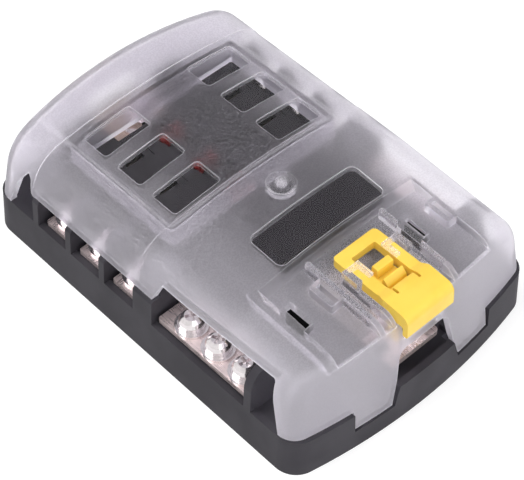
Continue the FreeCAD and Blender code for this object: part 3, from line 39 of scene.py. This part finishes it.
# Camera at the photograph's viewing angle, with its lens in millimetres
CAMERA_AZIMUTH = math.radians(-43.97)
CAMERA_ELEVATION = math.radians(49.66)
CAMERA_ROLL = math.radians(0.83)
CAMERA_DISTANCE = 548.2 * MM
CAMERA_TARGET = Vector((31.7, 30.8, -45.2)) * MM
CAMERA_LENS = 125.3

# Soft square lights: name, place, side and power
SOFTBOXES = (
    ("key_light", (-0.35, 0.25, 0.9), 0.7, 6.0),
    ("side_light", (0.85, 0.1, 0.4), 0.6, 0.4),
    ("fill_light", (-0.05, -0.85, 0.45), 0.8, 5.0),
)
LIGHT_AIM = Vector((0.0, 0.0, 0.02))

# World and floor: light on the object, and the white that shows behind it
WORLD_GREY = (0.5, 0.5, 0.51, 1.0)
WORLD_WHITE = (1.0, 1.0, 1.0, 1.0)
FLOOR_SIZE = 6.0
FLOOR_GREY = (0.8, 0.8, 0.8, 1.0)
FLOOR_SEEN = (0.42, 0.42, 0.42, 1.0)
FLOOR_GLOW = 0.68

# Parts of a noise's range that hold most of its values
NOISE_WIDE = (0.3, 0.7)
NOISE_MIDDLE = (0.35, 0.65)

# Windows of the cover, as places on its plan
ROW_COUNT = 3
ROW_PITCH = 13.2 * MM
ROW_MIDDLE_Y = 20.3 * MM
ROW_WINDOW_X = 17.575 * MM
ROW_WINDOW_HALF = (7.725 * MM, 4.5 * MM)
ROW_WINDOW_ROUND = 1.2 * MM
BIG_WINDOW_Y = -21.65 * MM
BIG_WINDOW_HALF = (18.1 * MM, 5.95 * MM)
BIG_WINDOW_ROUND = 2.0 * MM
WINDOW_ABOVE_Z = 29.0 * MM
WINDOW_BLEND = 0.15 * MM
# Rim round each window where a highlight is painted, and its fade
WINDOW_RIM = 0.2 * MM
WINDOW_RIM_FADE = (0.3 * WINDOW_RIM, 0.6 * WINDOW_RIM)

# Dimple that marks where a finger presses, with a painted highlight: a crescent where x + y is low,
# and a spot by its middle
DIMPLE_Y = -8.7 * MM
DIMPLE_RADIUS = 4.1 * MM
DIMPLE_EDGE = (DIMPLE_RADIUS, 0.9 * DIMPLE_RADIUS)
DIMPLE_PAINTED_HIGHLIGHT = 0.3
CRESCENT_RADIUS = 0.85 * DIMPLE_RADIUS
CRESCENT_FADE = (0.3 * MM, 0.8 * MM)
CRESCENT_SUM = (DIMPLE_Y, DIMPLE_Y - 3 * MM)
CRESCENT_FAR_SHARE = 0.1
SPOT_PLACE = (0.9 * MM, DIMPLE_Y + 0.9 * MM)
SPOT_FADE = (0.8 * MM, 2.2 * MM)
SPOT_SHARE = 0.8

# Slots for spare fuses in the cover, whose walls get painted shade
SLOT_X = (-24.95 * MM, 15.3 * MM)
SLOT_Y = -40.55 * MM
SLOT_HALF = (0.7 * MM, 3.3 * MM)
SLOT_TOP_Z = 33.2 * MM

# Bay with the latch's clear keepers in its middle
BAY_START_Y = (-28.3 * MM, -31.3 * MM)
KEEPER_X = (14.0 * MM, 13.5 * MM)
KEEPER_END_Y = (-54.0 * MM, -52.0 * MM)

# Places where the cover's outside begins: at its sides, far cap and near end
OUTSIDE_X = (28.6 * MM, 29.2 * MM)
OUTSIDE_FAR_Y = (42 * MM, 43 * MM)
OUTSIDE_NEAR_Y = (-52 * MM, -54 * MM)

# Haze is the share of white in the cover's skin, and the rest of it lets light through.
# On the top: towards the shoulders, on the far cap, on the near half and in the bay
TOP_HAZE = 0.08
TOP_HAZE_X = (8 * MM, 30 * MM)
CAP_HAZE = 0.07
CAP_HAZE_Y = (41 * MM, 43 * MM)
NEAR_TOP_HAZE = 0.03
NEAR_TOP_HAZE_Y = (4 * MM, -4 * MM)
BAY_HAZE = 0.04

# On walls, known by the size of the normal's z: the sides, and the ends by the size of its y
WALL_NORMAL_Z = (0.99, 0.7)
SIDE_HAZE = (0.05, 0.09)
SIDE_HAZE_Y = (8 * MM, -8 * MM)
END_NORMAL_Y = (0.3, 0.7)
END_HAZE = (0.1, 0.05)
END_HAZE_X = (16 * MM, 32 * MM)
INNER_WALL_SHARE = 0.1

# Painted highlight on moulded edges, inside and outside, known by the cosine between bevelled and
# true normal
EDGE_PAINTED_HIGHLIGHT = (0.38, 0.75)
EDGE_REACH = 0.4 * MM
EDGE_COSINE = (0.995, 0.9)
EDGE_SAMPLES = 6

# Painted highlight where the outer faces of the inner skirt meet the top
SKIRT_X = 28.4 * MM
SKIRT_NEAR_Y = 0.3 * MM
SKIRT_FADE = (0.3 * MM, 0.5 * MM)
SKIRT_PAINTED_HIGHLIGHT = 0.15

# Painted highlight round the windows, and haze in specks all over
RIM_PAINTED_HIGHLIGHT = 0.1
SPECK_HAZE = 0.07
SPECK_SIZE = 0.5 * MM
SPECK_RANGE = (0.42, 0.66)

# Sparkle: darker dots in the skin's colour, fewer on walls and on the keepers
SPARKLE_SIZE = 0.42 * MM
SPARKLE_RANGE = (0.4, 0.62)
SPARKLE_NORMAL_Z = (0.7, 0.97)
SPARKLE_WALL_SHARE = 0.25
SPARKLE_KEEPER_SHARE = 0.2

# Roughness of the skin: least on the windows, less in the dimple and on the keepers than elsewhere
FROST_ROUGHNESS = (0.36, 0.46)
WINDOW_ROUGHNESS = 0.02
SMOOTHER_SHARE = 0.6
SHADOW_TINT = (0.72, 0.71, 0.74, 1.0)

# Painted shade on the negative bus bar inside the channel: black, greyer near its bare end
SHADE_END_Y = (-47.0 * MM, -46.7 * MM)
SHADE_DARK_Y = (-28.0 * MM, -24.0 * MM)
SHADE_HALF_WIDTH = 20.0 * MM

# Brushing of the tinned parts
TIN_METALLIC = 0.8
STREAK_SIZE = 0.25 * MM
STREAK_LENGTH = 24
PALE_STREAK = 1.12
STREAK_SHARE = 0.6


class Nodes:
    """Short calls that add nodes to one material and link them."""

    def __init__(self, name):
        self.material = bpy.data.materials.new(name)
        self.material.use_nodes = True
        self.tree = self.material.node_tree
        self.shader = self.tree.nodes["Principled BSDF"]
        self.output = self.tree.nodes["Material Output"]

    def link(self, source, target):
        self.tree.links.new(source, target)

    def put(self, target, value):
        if isinstance(value, bpy.types.NodeSocket):
            self.link(value, target)
        else:
            target.default_value = value

    def place(self):
        return self.tree.nodes.new("ShaderNodeTexCoord").outputs["Object"]

    def facing(self):
        return self.tree.nodes.new("ShaderNodeNewGeometry").outputs["Normal"]

    def math(self, operation, *values):
        node = self.tree.nodes.new("ShaderNodeMath")
        node.operation = operation
        for socket, value in zip(node.inputs, values):
            self.put(socket, value)
        return node.outputs[0]

    def fold(self, operation, first, *rest):
        """Runs an operation for two values along any number of them."""
        for value in rest:
            first = self.math(operation, first, value)
        return first

    def add(self, *values):
        return self.fold("ADD", *values)

    def times(self, *values):
        return self.fold("MULTIPLY", *values)

    def most(self, *values):
        return self.fold("MAXIMUM", *values)

    def absolute(self, value):
        return self.math("ABSOLUTE", value)

    def away(self, value, middle):
        """How far value is from middle, on either side."""
        return self.absolute(self.math("SUBTRACT", value, middle))

    def vector(self, operation, *values):
        node = self.tree.nodes.new("ShaderNodeVectorMath")
        node.operation = operation
        for socket, value in zip(node.inputs, values):
            self.put(socket, value)
        return node.outputs["Value" if operation in ("LENGTH", "DOT_PRODUCT") else "Vector"]

    def split(self, vector):
        node = self.tree.nodes.new("ShaderNodeSeparateXYZ")
        self.link(vector, node.inputs[0])
        return node.outputs

    def merge(self, x, y, z=0.0):
        node = self.tree.nodes.new("ShaderNodeCombineXYZ")
        for socket, value in zip(node.inputs, (x, y, z)):
            self.put(socket, value)
        return node.outputs[0]

    def round_distance(self, x, y, middle):
        """Distance on the plan from middle, a pair of numbers."""
        return self.vector("LENGTH", self.vector("SUBTRACT", self.merge(x, y), (*middle, 0)))

    def noise(self, size, stretch=(1, 1, 1), detail=2.0):
        """Noise whose grains are about size metres across, drawn out along an axis by stretch."""
        node = self.tree.nodes.new("ShaderNodeTexNoise")
        scaled = self.vector("MULTIPLY", self.place(), tuple(1 / (size * s) for s in stretch))
        self.link(scaled, node.inputs["Vector"])
        node.inputs["Scale"].default_value = 1.0
        node.inputs["Detail"].default_value = detail
        return node.outputs["Fac"]

    def span(self, value, limits, results=(0.0, 1.0)):
        """Maps the pair of limits to the pair of results, smooth at both ends."""
        node = self.tree.nodes.new("ShaderNodeMapRange")
        node.interpolation_type = "SMOOTHSTEP"
        for socket, number in zip(node.inputs, (value, *limits, *results)):
            self.put(socket, number)
        return node.outputs[0]

    def blend(self, factor, first, second):
        """Mix of two colours, each a socket or three numbers."""
        node = self.tree.nodes.new("ShaderNodeMix")
        node.data_type = "RGBA"
        self.put(node.inputs["Factor"], factor)
        self.put(node.inputs["A"], (*first, 1.0) if isinstance(first, tuple) else first)
        self.put(node.inputs["B"], (*second, 1.0) if isinstance(second, tuple) else second)
        return node.outputs["Result"]

    def edge(self, radius):
        """1 on the edges of the form, fading out over about radius metres."""
        bevel = self.tree.nodes.new("ShaderNodeBevel")
        bevel.samples = EDGE_SAMPLES
        bevel.inputs["Radius"].default_value = radius
        cosine = self.vector("DOT_PRODUCT", bevel.outputs["Normal"], self.facing())
        return self.span(cosine, EDGE_COSINE)

    def bump(self, height, strength, distance):
        node = self.tree.nodes.new("ShaderNodeBump")
        node.inputs["Strength"].default_value = strength
        node.inputs["Distance"].default_value = distance
        self.put(node.inputs["Height"], height)
        return node.outputs[0]

    def mix(self, factor, first, second):
        """Puts a mix of two shaders on the surface."""
        node = self.tree.nodes.new("ShaderNodeMixShader")
        for socket, source in zip(node.inputs, (factor, first.outputs[0], second.outputs[0])):
            self.link(source, socket)
        self.link(node.outputs[0], self.output.inputs["Surface"])

    def set(self, **values):
        """Sets the shader's sockets, named with _ for a space."""
        for name, value in values.items():
            self.put(self.shader.inputs[name.replace("_", " ")], value)


def colour(red, green, blue):
    """Linear colour of a 0..255 display colour."""
    def linear(value):
        share = value / 255
        return share / 12.92 if share <= 0.04045 else ((share + 0.055) / 1.055) ** 2.4
    return linear(red), linear(green), linear(blue)


def window_mask(n, x, y, z):
    """Two masks over the cover: 1 on its polished windows, and 1 on their rims, where a highlight is
    painted.
    """
    side = n.absolute(x)
    along = n.math("SUBTRACT", y, ROW_MIDDLE_Y)
    # A shift by whole pitches keeps the fold at the rows' middles and its input above zero
    cell = n.math("PINGPONG", n.add(along, ROW_PITCH * 20), ROW_PITCH / 2)

    def rounded(across, run, half, radius):
        straight = (half[0] - radius, half[1] - radius, 0)
        beyond = n.vector("SUBTRACT", n.merge(across, run), straight)
        corner = n.vector("MAXIMUM", beyond, (0, 0, 0))
        return n.math("SUBTRACT", n.vector("LENGTH", corner), radius)

    row = rounded(n.away(side, ROW_WINDOW_X), cell, ROW_WINDOW_HALF, ROW_WINDOW_ROUND)
    in_rows = n.math("LESS_THAN", n.absolute(along), ROW_PITCH * ROW_COUNT / 2)
    row = n.add(row, n.times(n.math("SUBTRACT", 1.0, in_rows), ROW_PITCH))
    big = rounded(side, n.away(y, BIG_WINDOW_Y), BIG_WINDOW_HALF, BIG_WINDOW_ROUND)
    inside = n.times(n.math("MINIMUM", row, big), -1.0)
    above = n.math("GREATER_THAN", z, WINDOW_ABOVE_Z)
    clear = n.times(n.span(inside, (0.0, WINDOW_BLEND)), above)
    rim_highlight = n.times(n.span(n.away(inside, WINDOW_RIM / 2), WINDOW_RIM_FADE, (1.0, 0.0)), above)
    return clear, rim_highlight


def slot_shade_mask(n, x, y, z):
    """1 on the walls of the slots for spare fuses, where dark shade is painted so they look black
    from above.
    """
    nearest = n.math("MINIMUM", *(n.away(x, middle) for middle in SLOT_X))
    across = n.math("LESS_THAN", nearest, SLOT_HALF[0])
    along = n.math("LESS_THAN", n.away(y, SLOT_Y), SLOT_HALF[1])
    return n.times(across, along, n.math("LESS_THAN", z, SLOT_TOP_Z))


def skirt_highlight_mask(n, side, y):
    """1 in a line where the inner skirt stands, along both sides and its near end: the place of a
    painted highlight.
    """
    along_side = n.times(n.span(n.away(side, SKIRT_X), SKIRT_FADE, (1.0, 0.0)),
                         n.math("GREATER_THAN", y, SKIRT_NEAR_Y))
    near_end = n.times(n.math("LESS_THAN", side, SKIRT_X),
                       n.span(n.away(y, SKIRT_NEAR_Y), SKIRT_FADE, (1.0, 0.0)))
    return n.most(along_side, near_end)


def dimple_painted_highlight(n, x, y, from_dimple):
    """Painted highlight: a paler crescent and spot that make the dimple read as hollow."""
    ring = n.span(n.away(from_dimple, CRESCENT_RADIUS), CRESCENT_FADE, (DIMPLE_PAINTED_HIGHLIGHT, 0.0))
    crescent = n.times(ring, n.span(n.add(x, y), CRESCENT_SUM, (CRESCENT_FAR_SHARE, 1.0)))
    spot = n.span(n.round_distance(x, y, SPOT_PLACE), SPOT_FADE, (DIMPLE_PAINTED_HIGHLIGHT * SPOT_SHARE, 0.0))
    return n.add(crescent, spot)


def skin_haze_and_edge_highlight(n, side, y, along, up):
    """Haze of the cover's top and walls, and a painted highlight on its edges, by place and by the
    size of the normal's parts.
    """
    outside = n.most(n.span(side, OUTSIDE_X), n.span(y, OUTSIDE_FAR_Y), n.span(y, OUTSIDE_NEAR_Y))
    sides = n.span(y, SIDE_HAZE_Y, SIDE_HAZE)
    ends = n.span(side, END_HAZE_X, END_HAZE)
    wall = n.times(n.span(up, WALL_NORMAL_Z), n.span(along, END_NORMAL_Y, (sides, ends)),
                   n.span(outside, (0.0, 1.0), (INNER_WALL_SHARE, 1.0)))
    top = n.add(n.span(side, TOP_HAZE_X, (0.0, TOP_HAZE)),
                n.span(y, CAP_HAZE_Y, (0.0, CAP_HAZE)),
                n.span(y, NEAR_TOP_HAZE_Y, (0.0, NEAR_TOP_HAZE)),
                n.span(y, BAY_START_Y, (0.0, BAY_HAZE)))
    speck = n.times(n.span(n.noise(SPECK_SIZE, detail=3.0), SPECK_RANGE), SPECK_HAZE)
    # Painted highlight on the moulded edges
    edge = n.times(n.edge(EDGE_REACH), n.span(outside, (0.0, 1.0), EDGE_PAINTED_HIGHLIGHT))
    return n.most(n.add(speck, top, wall), edge)


def frosted_cover():
    """Clear plastic with a frosted skin and polished windows, painted highlights on its edges,
    window rims, skirt line and dimple, and painted shade in the fuse slots.
    """
    n = Nodes("frosted_cover")
    x, y, z = n.split(n.place())
    _, along, up = n.split(n.facing())
    side, along, up = n.absolute(x), n.absolute(along), n.absolute(up)
    clear, rim_highlight = window_mask(n, x, y, z)
    slot = slot_shade_mask(n, x, y, z)
    frost = n.math("SUBTRACT", 1.0, clear)
    from_dimple = n.round_distance(x, y, (0, DIMPLE_Y))
    # Frost haze together with painted highlights on edges, skirt line and dimple
    haze_and_painted_light = n.add(skin_haze_and_edge_highlight(n, side, y, along, up), dimple_painted_highlight(n, x, y, from_dimple),
                 n.times(skirt_highlight_mask(n, side, y), SKIRT_PAINTED_HIGHLIGHT))
    # Painted highlight on the window rims and painted shade in the slots join the haze
    haze_and_painted_light = n.most(n.times(frost, haze_and_painted_light), n.times(rim_highlight, RIM_PAINTED_HIGHLIGHT), slot)

    keeper = n.times(n.span(side, KEEPER_X), n.span(y, BAY_START_Y), n.span(y, KEEPER_END_Y))
    sparkle = n.times(n.span(n.noise(SPARKLE_SIZE, detail=3.0), SPARKLE_RANGE, (1.0, 0.0)), frost,
                      n.span(up, SPARKLE_NORMAL_Z, (SPARKLE_WALL_SHARE, 1.0)),
                      n.span(keeper, (0.0, 1.0), (1.0, SPARKLE_KEEPER_SHARE)))
    skin = n.blend(clear, colour(238, 235, 241), colour(250, 250, 251))
    skin = n.blend(sparkle, skin, colour(220, 217, 223))

    grain = n.noise(0.2 * MM, detail=1.0)
    smoother = n.times(n.span(from_dimple, DIMPLE_EDGE, (1.0, SMOOTHER_SHARE)),
                       n.span(keeper, (0.0, 1.0), (1.0, SMOOTHER_SHARE)))
    rough = n.times(frost, n.span(grain, NOISE_MIDDLE, FROST_ROUGHNESS), smoother)
    # Painted shade: the slots' walls are dark and let no light through
    n.set(Base_Color=n.blend(slot, skin, colour(30, 29, 31)),
          Roughness=n.add(rough, WINDOW_ROUGHNESS),
          Transmission_Weight=n.math("SUBTRACT", 1.0, haze_and_painted_light),
          IOR=1.17, Specular_IOR_Level=0.1,
          Normal=n.bump(n.times(grain, frost), 0.12, 0.04 * MM))

    # Light passes the cover on its way to what lies under it
    passing = n.tree.nodes.new("ShaderNodeBsdfTransparent")
    passing.inputs["Color"].default_value = SHADOW_TINT
    path = n.tree.nodes.new("ShaderNodeLightPath")
    n.mix(path.outputs["Is Shadow Ray"], n.shader, passing)
    return n.material


def black_plastic(name, low, high, bumpy=True):
    """Fine spark-eroded grain on charcoal moulding, with faint clouding between two tones."""
    n = Nodes(name)
    grain = n.noise(0.22 * MM if bumpy else 0.9 * MM, detail=1.0)
    cloud = n.noise(14 * MM)
    n.set(Base_Color=n.blend(n.span(cloud, NOISE_MIDDLE), low, high),
          Roughness=n.span(grain, NOISE_WIDE, (0.54, 0.6)),
          Specular_IOR_Level=0.15)
    if bumpy:
        n.set(Normal=n.bump(grain, 0.06, 0.03 * MM))
    return n.material


def yellow_plastic():
    """Satin moulding with a little light inside it."""
    n = Nodes("yellow_plastic")
    grain = n.noise(0.5 * MM)
    cloud = n.noise(9 * MM)
    low, high = colour(240, 200, 72), colour(245, 208, 82)
    n.set(Base_Color=n.blend(n.span(cloud, NOISE_MIDDLE), low, high),
          Roughness=n.span(grain, NOISE_WIDE, (0.3, 0.4)),
          Subsurface_Weight=0.15, Subsurface_Scale=1 * MM,
          Normal=n.bump(grain, 0.15, 0.03 * MM))
    return n.material


def brushed_metal(name, tone, axis, rough, shaded=False):
    """Tinned brass, brushed along one axis. A shaded bar gets painted shade, black but for its bare
    end.
    """
    n = Nodes(name)
    stretch = tuple(STREAK_LENGTH if letter == axis else 1 for letter in "xyz")
    streaks = n.noise(STREAK_SIZE, stretch=stretch, detail=4.0)
    cloud = n.noise(3 * MM)
    pale = tuple(min(1.0, c * PALE_STREAK) for c in tone)
    skin = n.blend(n.span(streaks, NOISE_WIDE), tone, pale)
    metallic = TIN_METALLIC
    if shaded:
        x, y, _ = n.split(n.place())
        # Painted shade: the bar is dark inside the channel, greyer towards its bare end
        shade = n.times(n.span(y, SHADE_END_Y), n.math("LESS_THAN", n.absolute(x), SHADE_HALF_WIDTH))
        shade_tone = n.blend(n.span(y, SHADE_DARK_Y), colour(128, 122, 118), colour(34, 33, 35))
        skin = n.blend(shade, skin, shade_tone)
        metallic = n.times(n.math("SUBTRACT", 1.0, shade), TIN_METALLIC)
        n.set(Specular_IOR_Level=0.3)
    relief = n.add(n.times(streaks, STREAK_SHARE), n.times(cloud, 1 - STREAK_SHARE))
    n.set(Base_Color=skin, Metallic=metallic,
          Roughness=n.span(relief, NOISE_MIDDLE, (rough, rough + 0.14)),
          Normal=n.bump(streaks, 0.25, 0.02 * MM))
    return n.material


def smooth_metal(name, tone, rough):
    """Plated steel with faint clouding."""
    n = Nodes(name)
    cloud = n.noise(1.2 * MM)
    darker = tuple(c * 0.9 for c in tone)
    n.set(Base_Color=n.blend(n.span(cloud, NOISE_MIDDLE), darker, tone),
          Metallic=0.95, Roughness=n.span(cloud, NOISE_WIDE, (rough - 0.04, rough + 0.06)))
    return n.material


def plain(name, tone, rough, **more):
    """Evenly grained moulding or board."""
    n = Nodes(name)
    grain = n.noise(0.4 * MM)
    darker = tuple(c * 0.88 for c in tone)
    n.set(Base_Color=n.blend(n.span(grain, NOISE_MIDDLE), darker, tone),
          Roughness=n.span(grain, NOISE_WIDE, (rough - 0.05, rough + 0.07)),
          Normal=n.bump(grain, 0.15, 0.03 * MM), **more)
    return n.material


def dress():
    """Gives every solid its material."""
    tin = colour(224, 208, 206)
    by_slot = {
        "black_plastic": black_plastic("black_plastic", colour(53, 51, 56), colour(63, 61, 66)),
        "black_board": plain("black_board", colour(44, 43, 46), 0.6),
        "frosted_cover": frosted_cover(),
        "yellow_plastic": yellow_plastic(),
        "tinned_metal": brushed_metal("tinned_metal", tin, "y", 0.24),
        "zinc_steel": smooth_metal("zinc_steel", colour(226, 220, 221), 0.15),
        "green_board": plain("green_board", colour(30, 78, 44), 0.35),
        "black_chip": plain("black_chip", colour(32, 32, 34), 0.5),
        "red_lamp": plain("red_lamp", colour(140, 26, 26), 0.12, Transmission_Weight=0.5, IOR=1.5),
    }
    by_node = {
        # Darker copy of the black plastic for the deck under the cover: painted shade
        "fuse_holder": black_plastic("black_plastic_deck_shaded", colour(36, 34, 37), colour(42, 40, 43),
                                     bumpy=False),
        "negative_bus": brushed_metal("tinned_metal_shaded", tin, "y", 0.24, shaded=True),
        "positive_bus": brushed_metal("tinned_metal_warm", colour(160, 142, 132), "x", 0.28),
    }
    plate = brushed_metal("tinned_metal_across", tin, "x", 0.24)
    clip = brushed_metal("tinned_metal_dull", colour(112, 104, 100), "z", 0.3)
    for part in frame["record"]["subparts"]:
        name = part["node"]
        material = by_node.get(name, by_slot[part["material_slot"]])
        if name.startswith("output_plate"):
            material = plate
        if "_clip_" in name:
            material = clip
        mesh = nodes[name].data
        mesh.materials.clear()
        mesh.materials.append(material)


def white_rays(tree):
    """1 for the rays that meet the white background: camera, glossy and transmission rays."""
    path = tree.nodes.new("ShaderNodeLightPath")
    socket = path.outputs["Is Camera Ray"]
    for name in ("Is Glossy Ray", "Is Transmission Ray"):
        node = tree.nodes.new("ShaderNodeMath")
        node.operation = "MAXIMUM"
        tree.links.new(socket, node.inputs[0])
        tree.links.new(path.outputs[name], node.inputs[1])
        socket = node.outputs[0]
    return socket


def floor():
    """Plain pale floor with a soft shadow, white in the view, in gloss and through the cover."""
    bpy.ops.mesh.primitive_plane_add(size=FLOOR_SIZE, location=(0, 0, 0))
    plane = bpy.context.object
    plane.name = "floor"
    n = Nodes("floor_white")
    tree = n.tree
    tree.nodes.remove(n.shader)
    lit = tree.nodes.new("ShaderNodeBsdfDiffuse")
    lit.inputs["Color"].default_value = FLOOR_GREY
    seen = tree.nodes.new("ShaderNodeBsdfDiffuse")
    seen.inputs["Color"].default_value = FLOOR_SEEN
    glow = tree.nodes.new("ShaderNodeEmission")
    glow.inputs["Strength"].default_value = FLOOR_GLOW
    white = tree.nodes.new("ShaderNodeAddShader")
    n.link(seen.outputs[0], white.inputs[0])
    n.link(glow.outputs[0], white.inputs[1])
    n.mix(white_rays(tree), lit, white)
    plane.data.materials.append(n.material)


def world():
    """Soft grey light all round, and white where it is seen."""
    sky = bpy.data.worlds.new("studio")
    sky.use_nodes = True
    tree = sky.node_tree
    background = tree.nodes["Background"]
    mix = tree.nodes.new("ShaderNodeMix")
    mix.data_type = "RGBA"
    mix.inputs["A"].default_value = WORLD_GREY
    mix.inputs["B"].default_value = WORLD_WHITE
    tree.links.new(white_rays(tree), mix.inputs["Factor"])
    tree.links.new(mix.outputs["Result"], background.inputs["Color"])
    background.inputs["Strength"].default_value = 1.0
    bpy.context.scene.world = sky


def softbox(name, place, side, power):
    """Square area light that faces the object."""
    light = bpy.data.lights.new(name, "AREA")
    light.shape = "RECTANGLE"
    light.size = light.size_y = side
    light.energy = power
    lamp = bpy.data.objects.new(name, light)
    bpy.context.scene.collection.objects.link(lamp)
    lamp.location = place
    lamp.rotation_euler = (LIGHT_AIM - Vector(place)).to_track_quat("-Z", "Y").to_euler()


def camera():
    """Camera at the photograph's place."""
    data = bpy.data.cameras.new("camera")
    data.lens = CAMERA_LENS
    eye = bpy.data.objects.new("camera", data)
    bpy.context.scene.collection.objects.link(eye)
    level = math.cos(CAMERA_ELEVATION)
    back = Vector((math.sin(CAMERA_AZIMUTH) * level, -math.cos(CAMERA_AZIMUTH) * level,
                   math.sin(CAMERA_ELEVATION)))
    eye.location = CAMERA_TARGET + back * CAMERA_DISTANCE
    eye.rotation_mode = "QUATERNION"
    eye.rotation_quaternion = (-back).to_track_quat("-Z", "Y") @ Quaternion((0, 0, 1), CAMERA_ROLL)
    bpy.context.scene.camera = eye


dress()
floor()
world()
for light in SOFTBOXES:
    softbox(*light)
camera()
bpy.context.scene.view_settings.view_transform = "Standard"
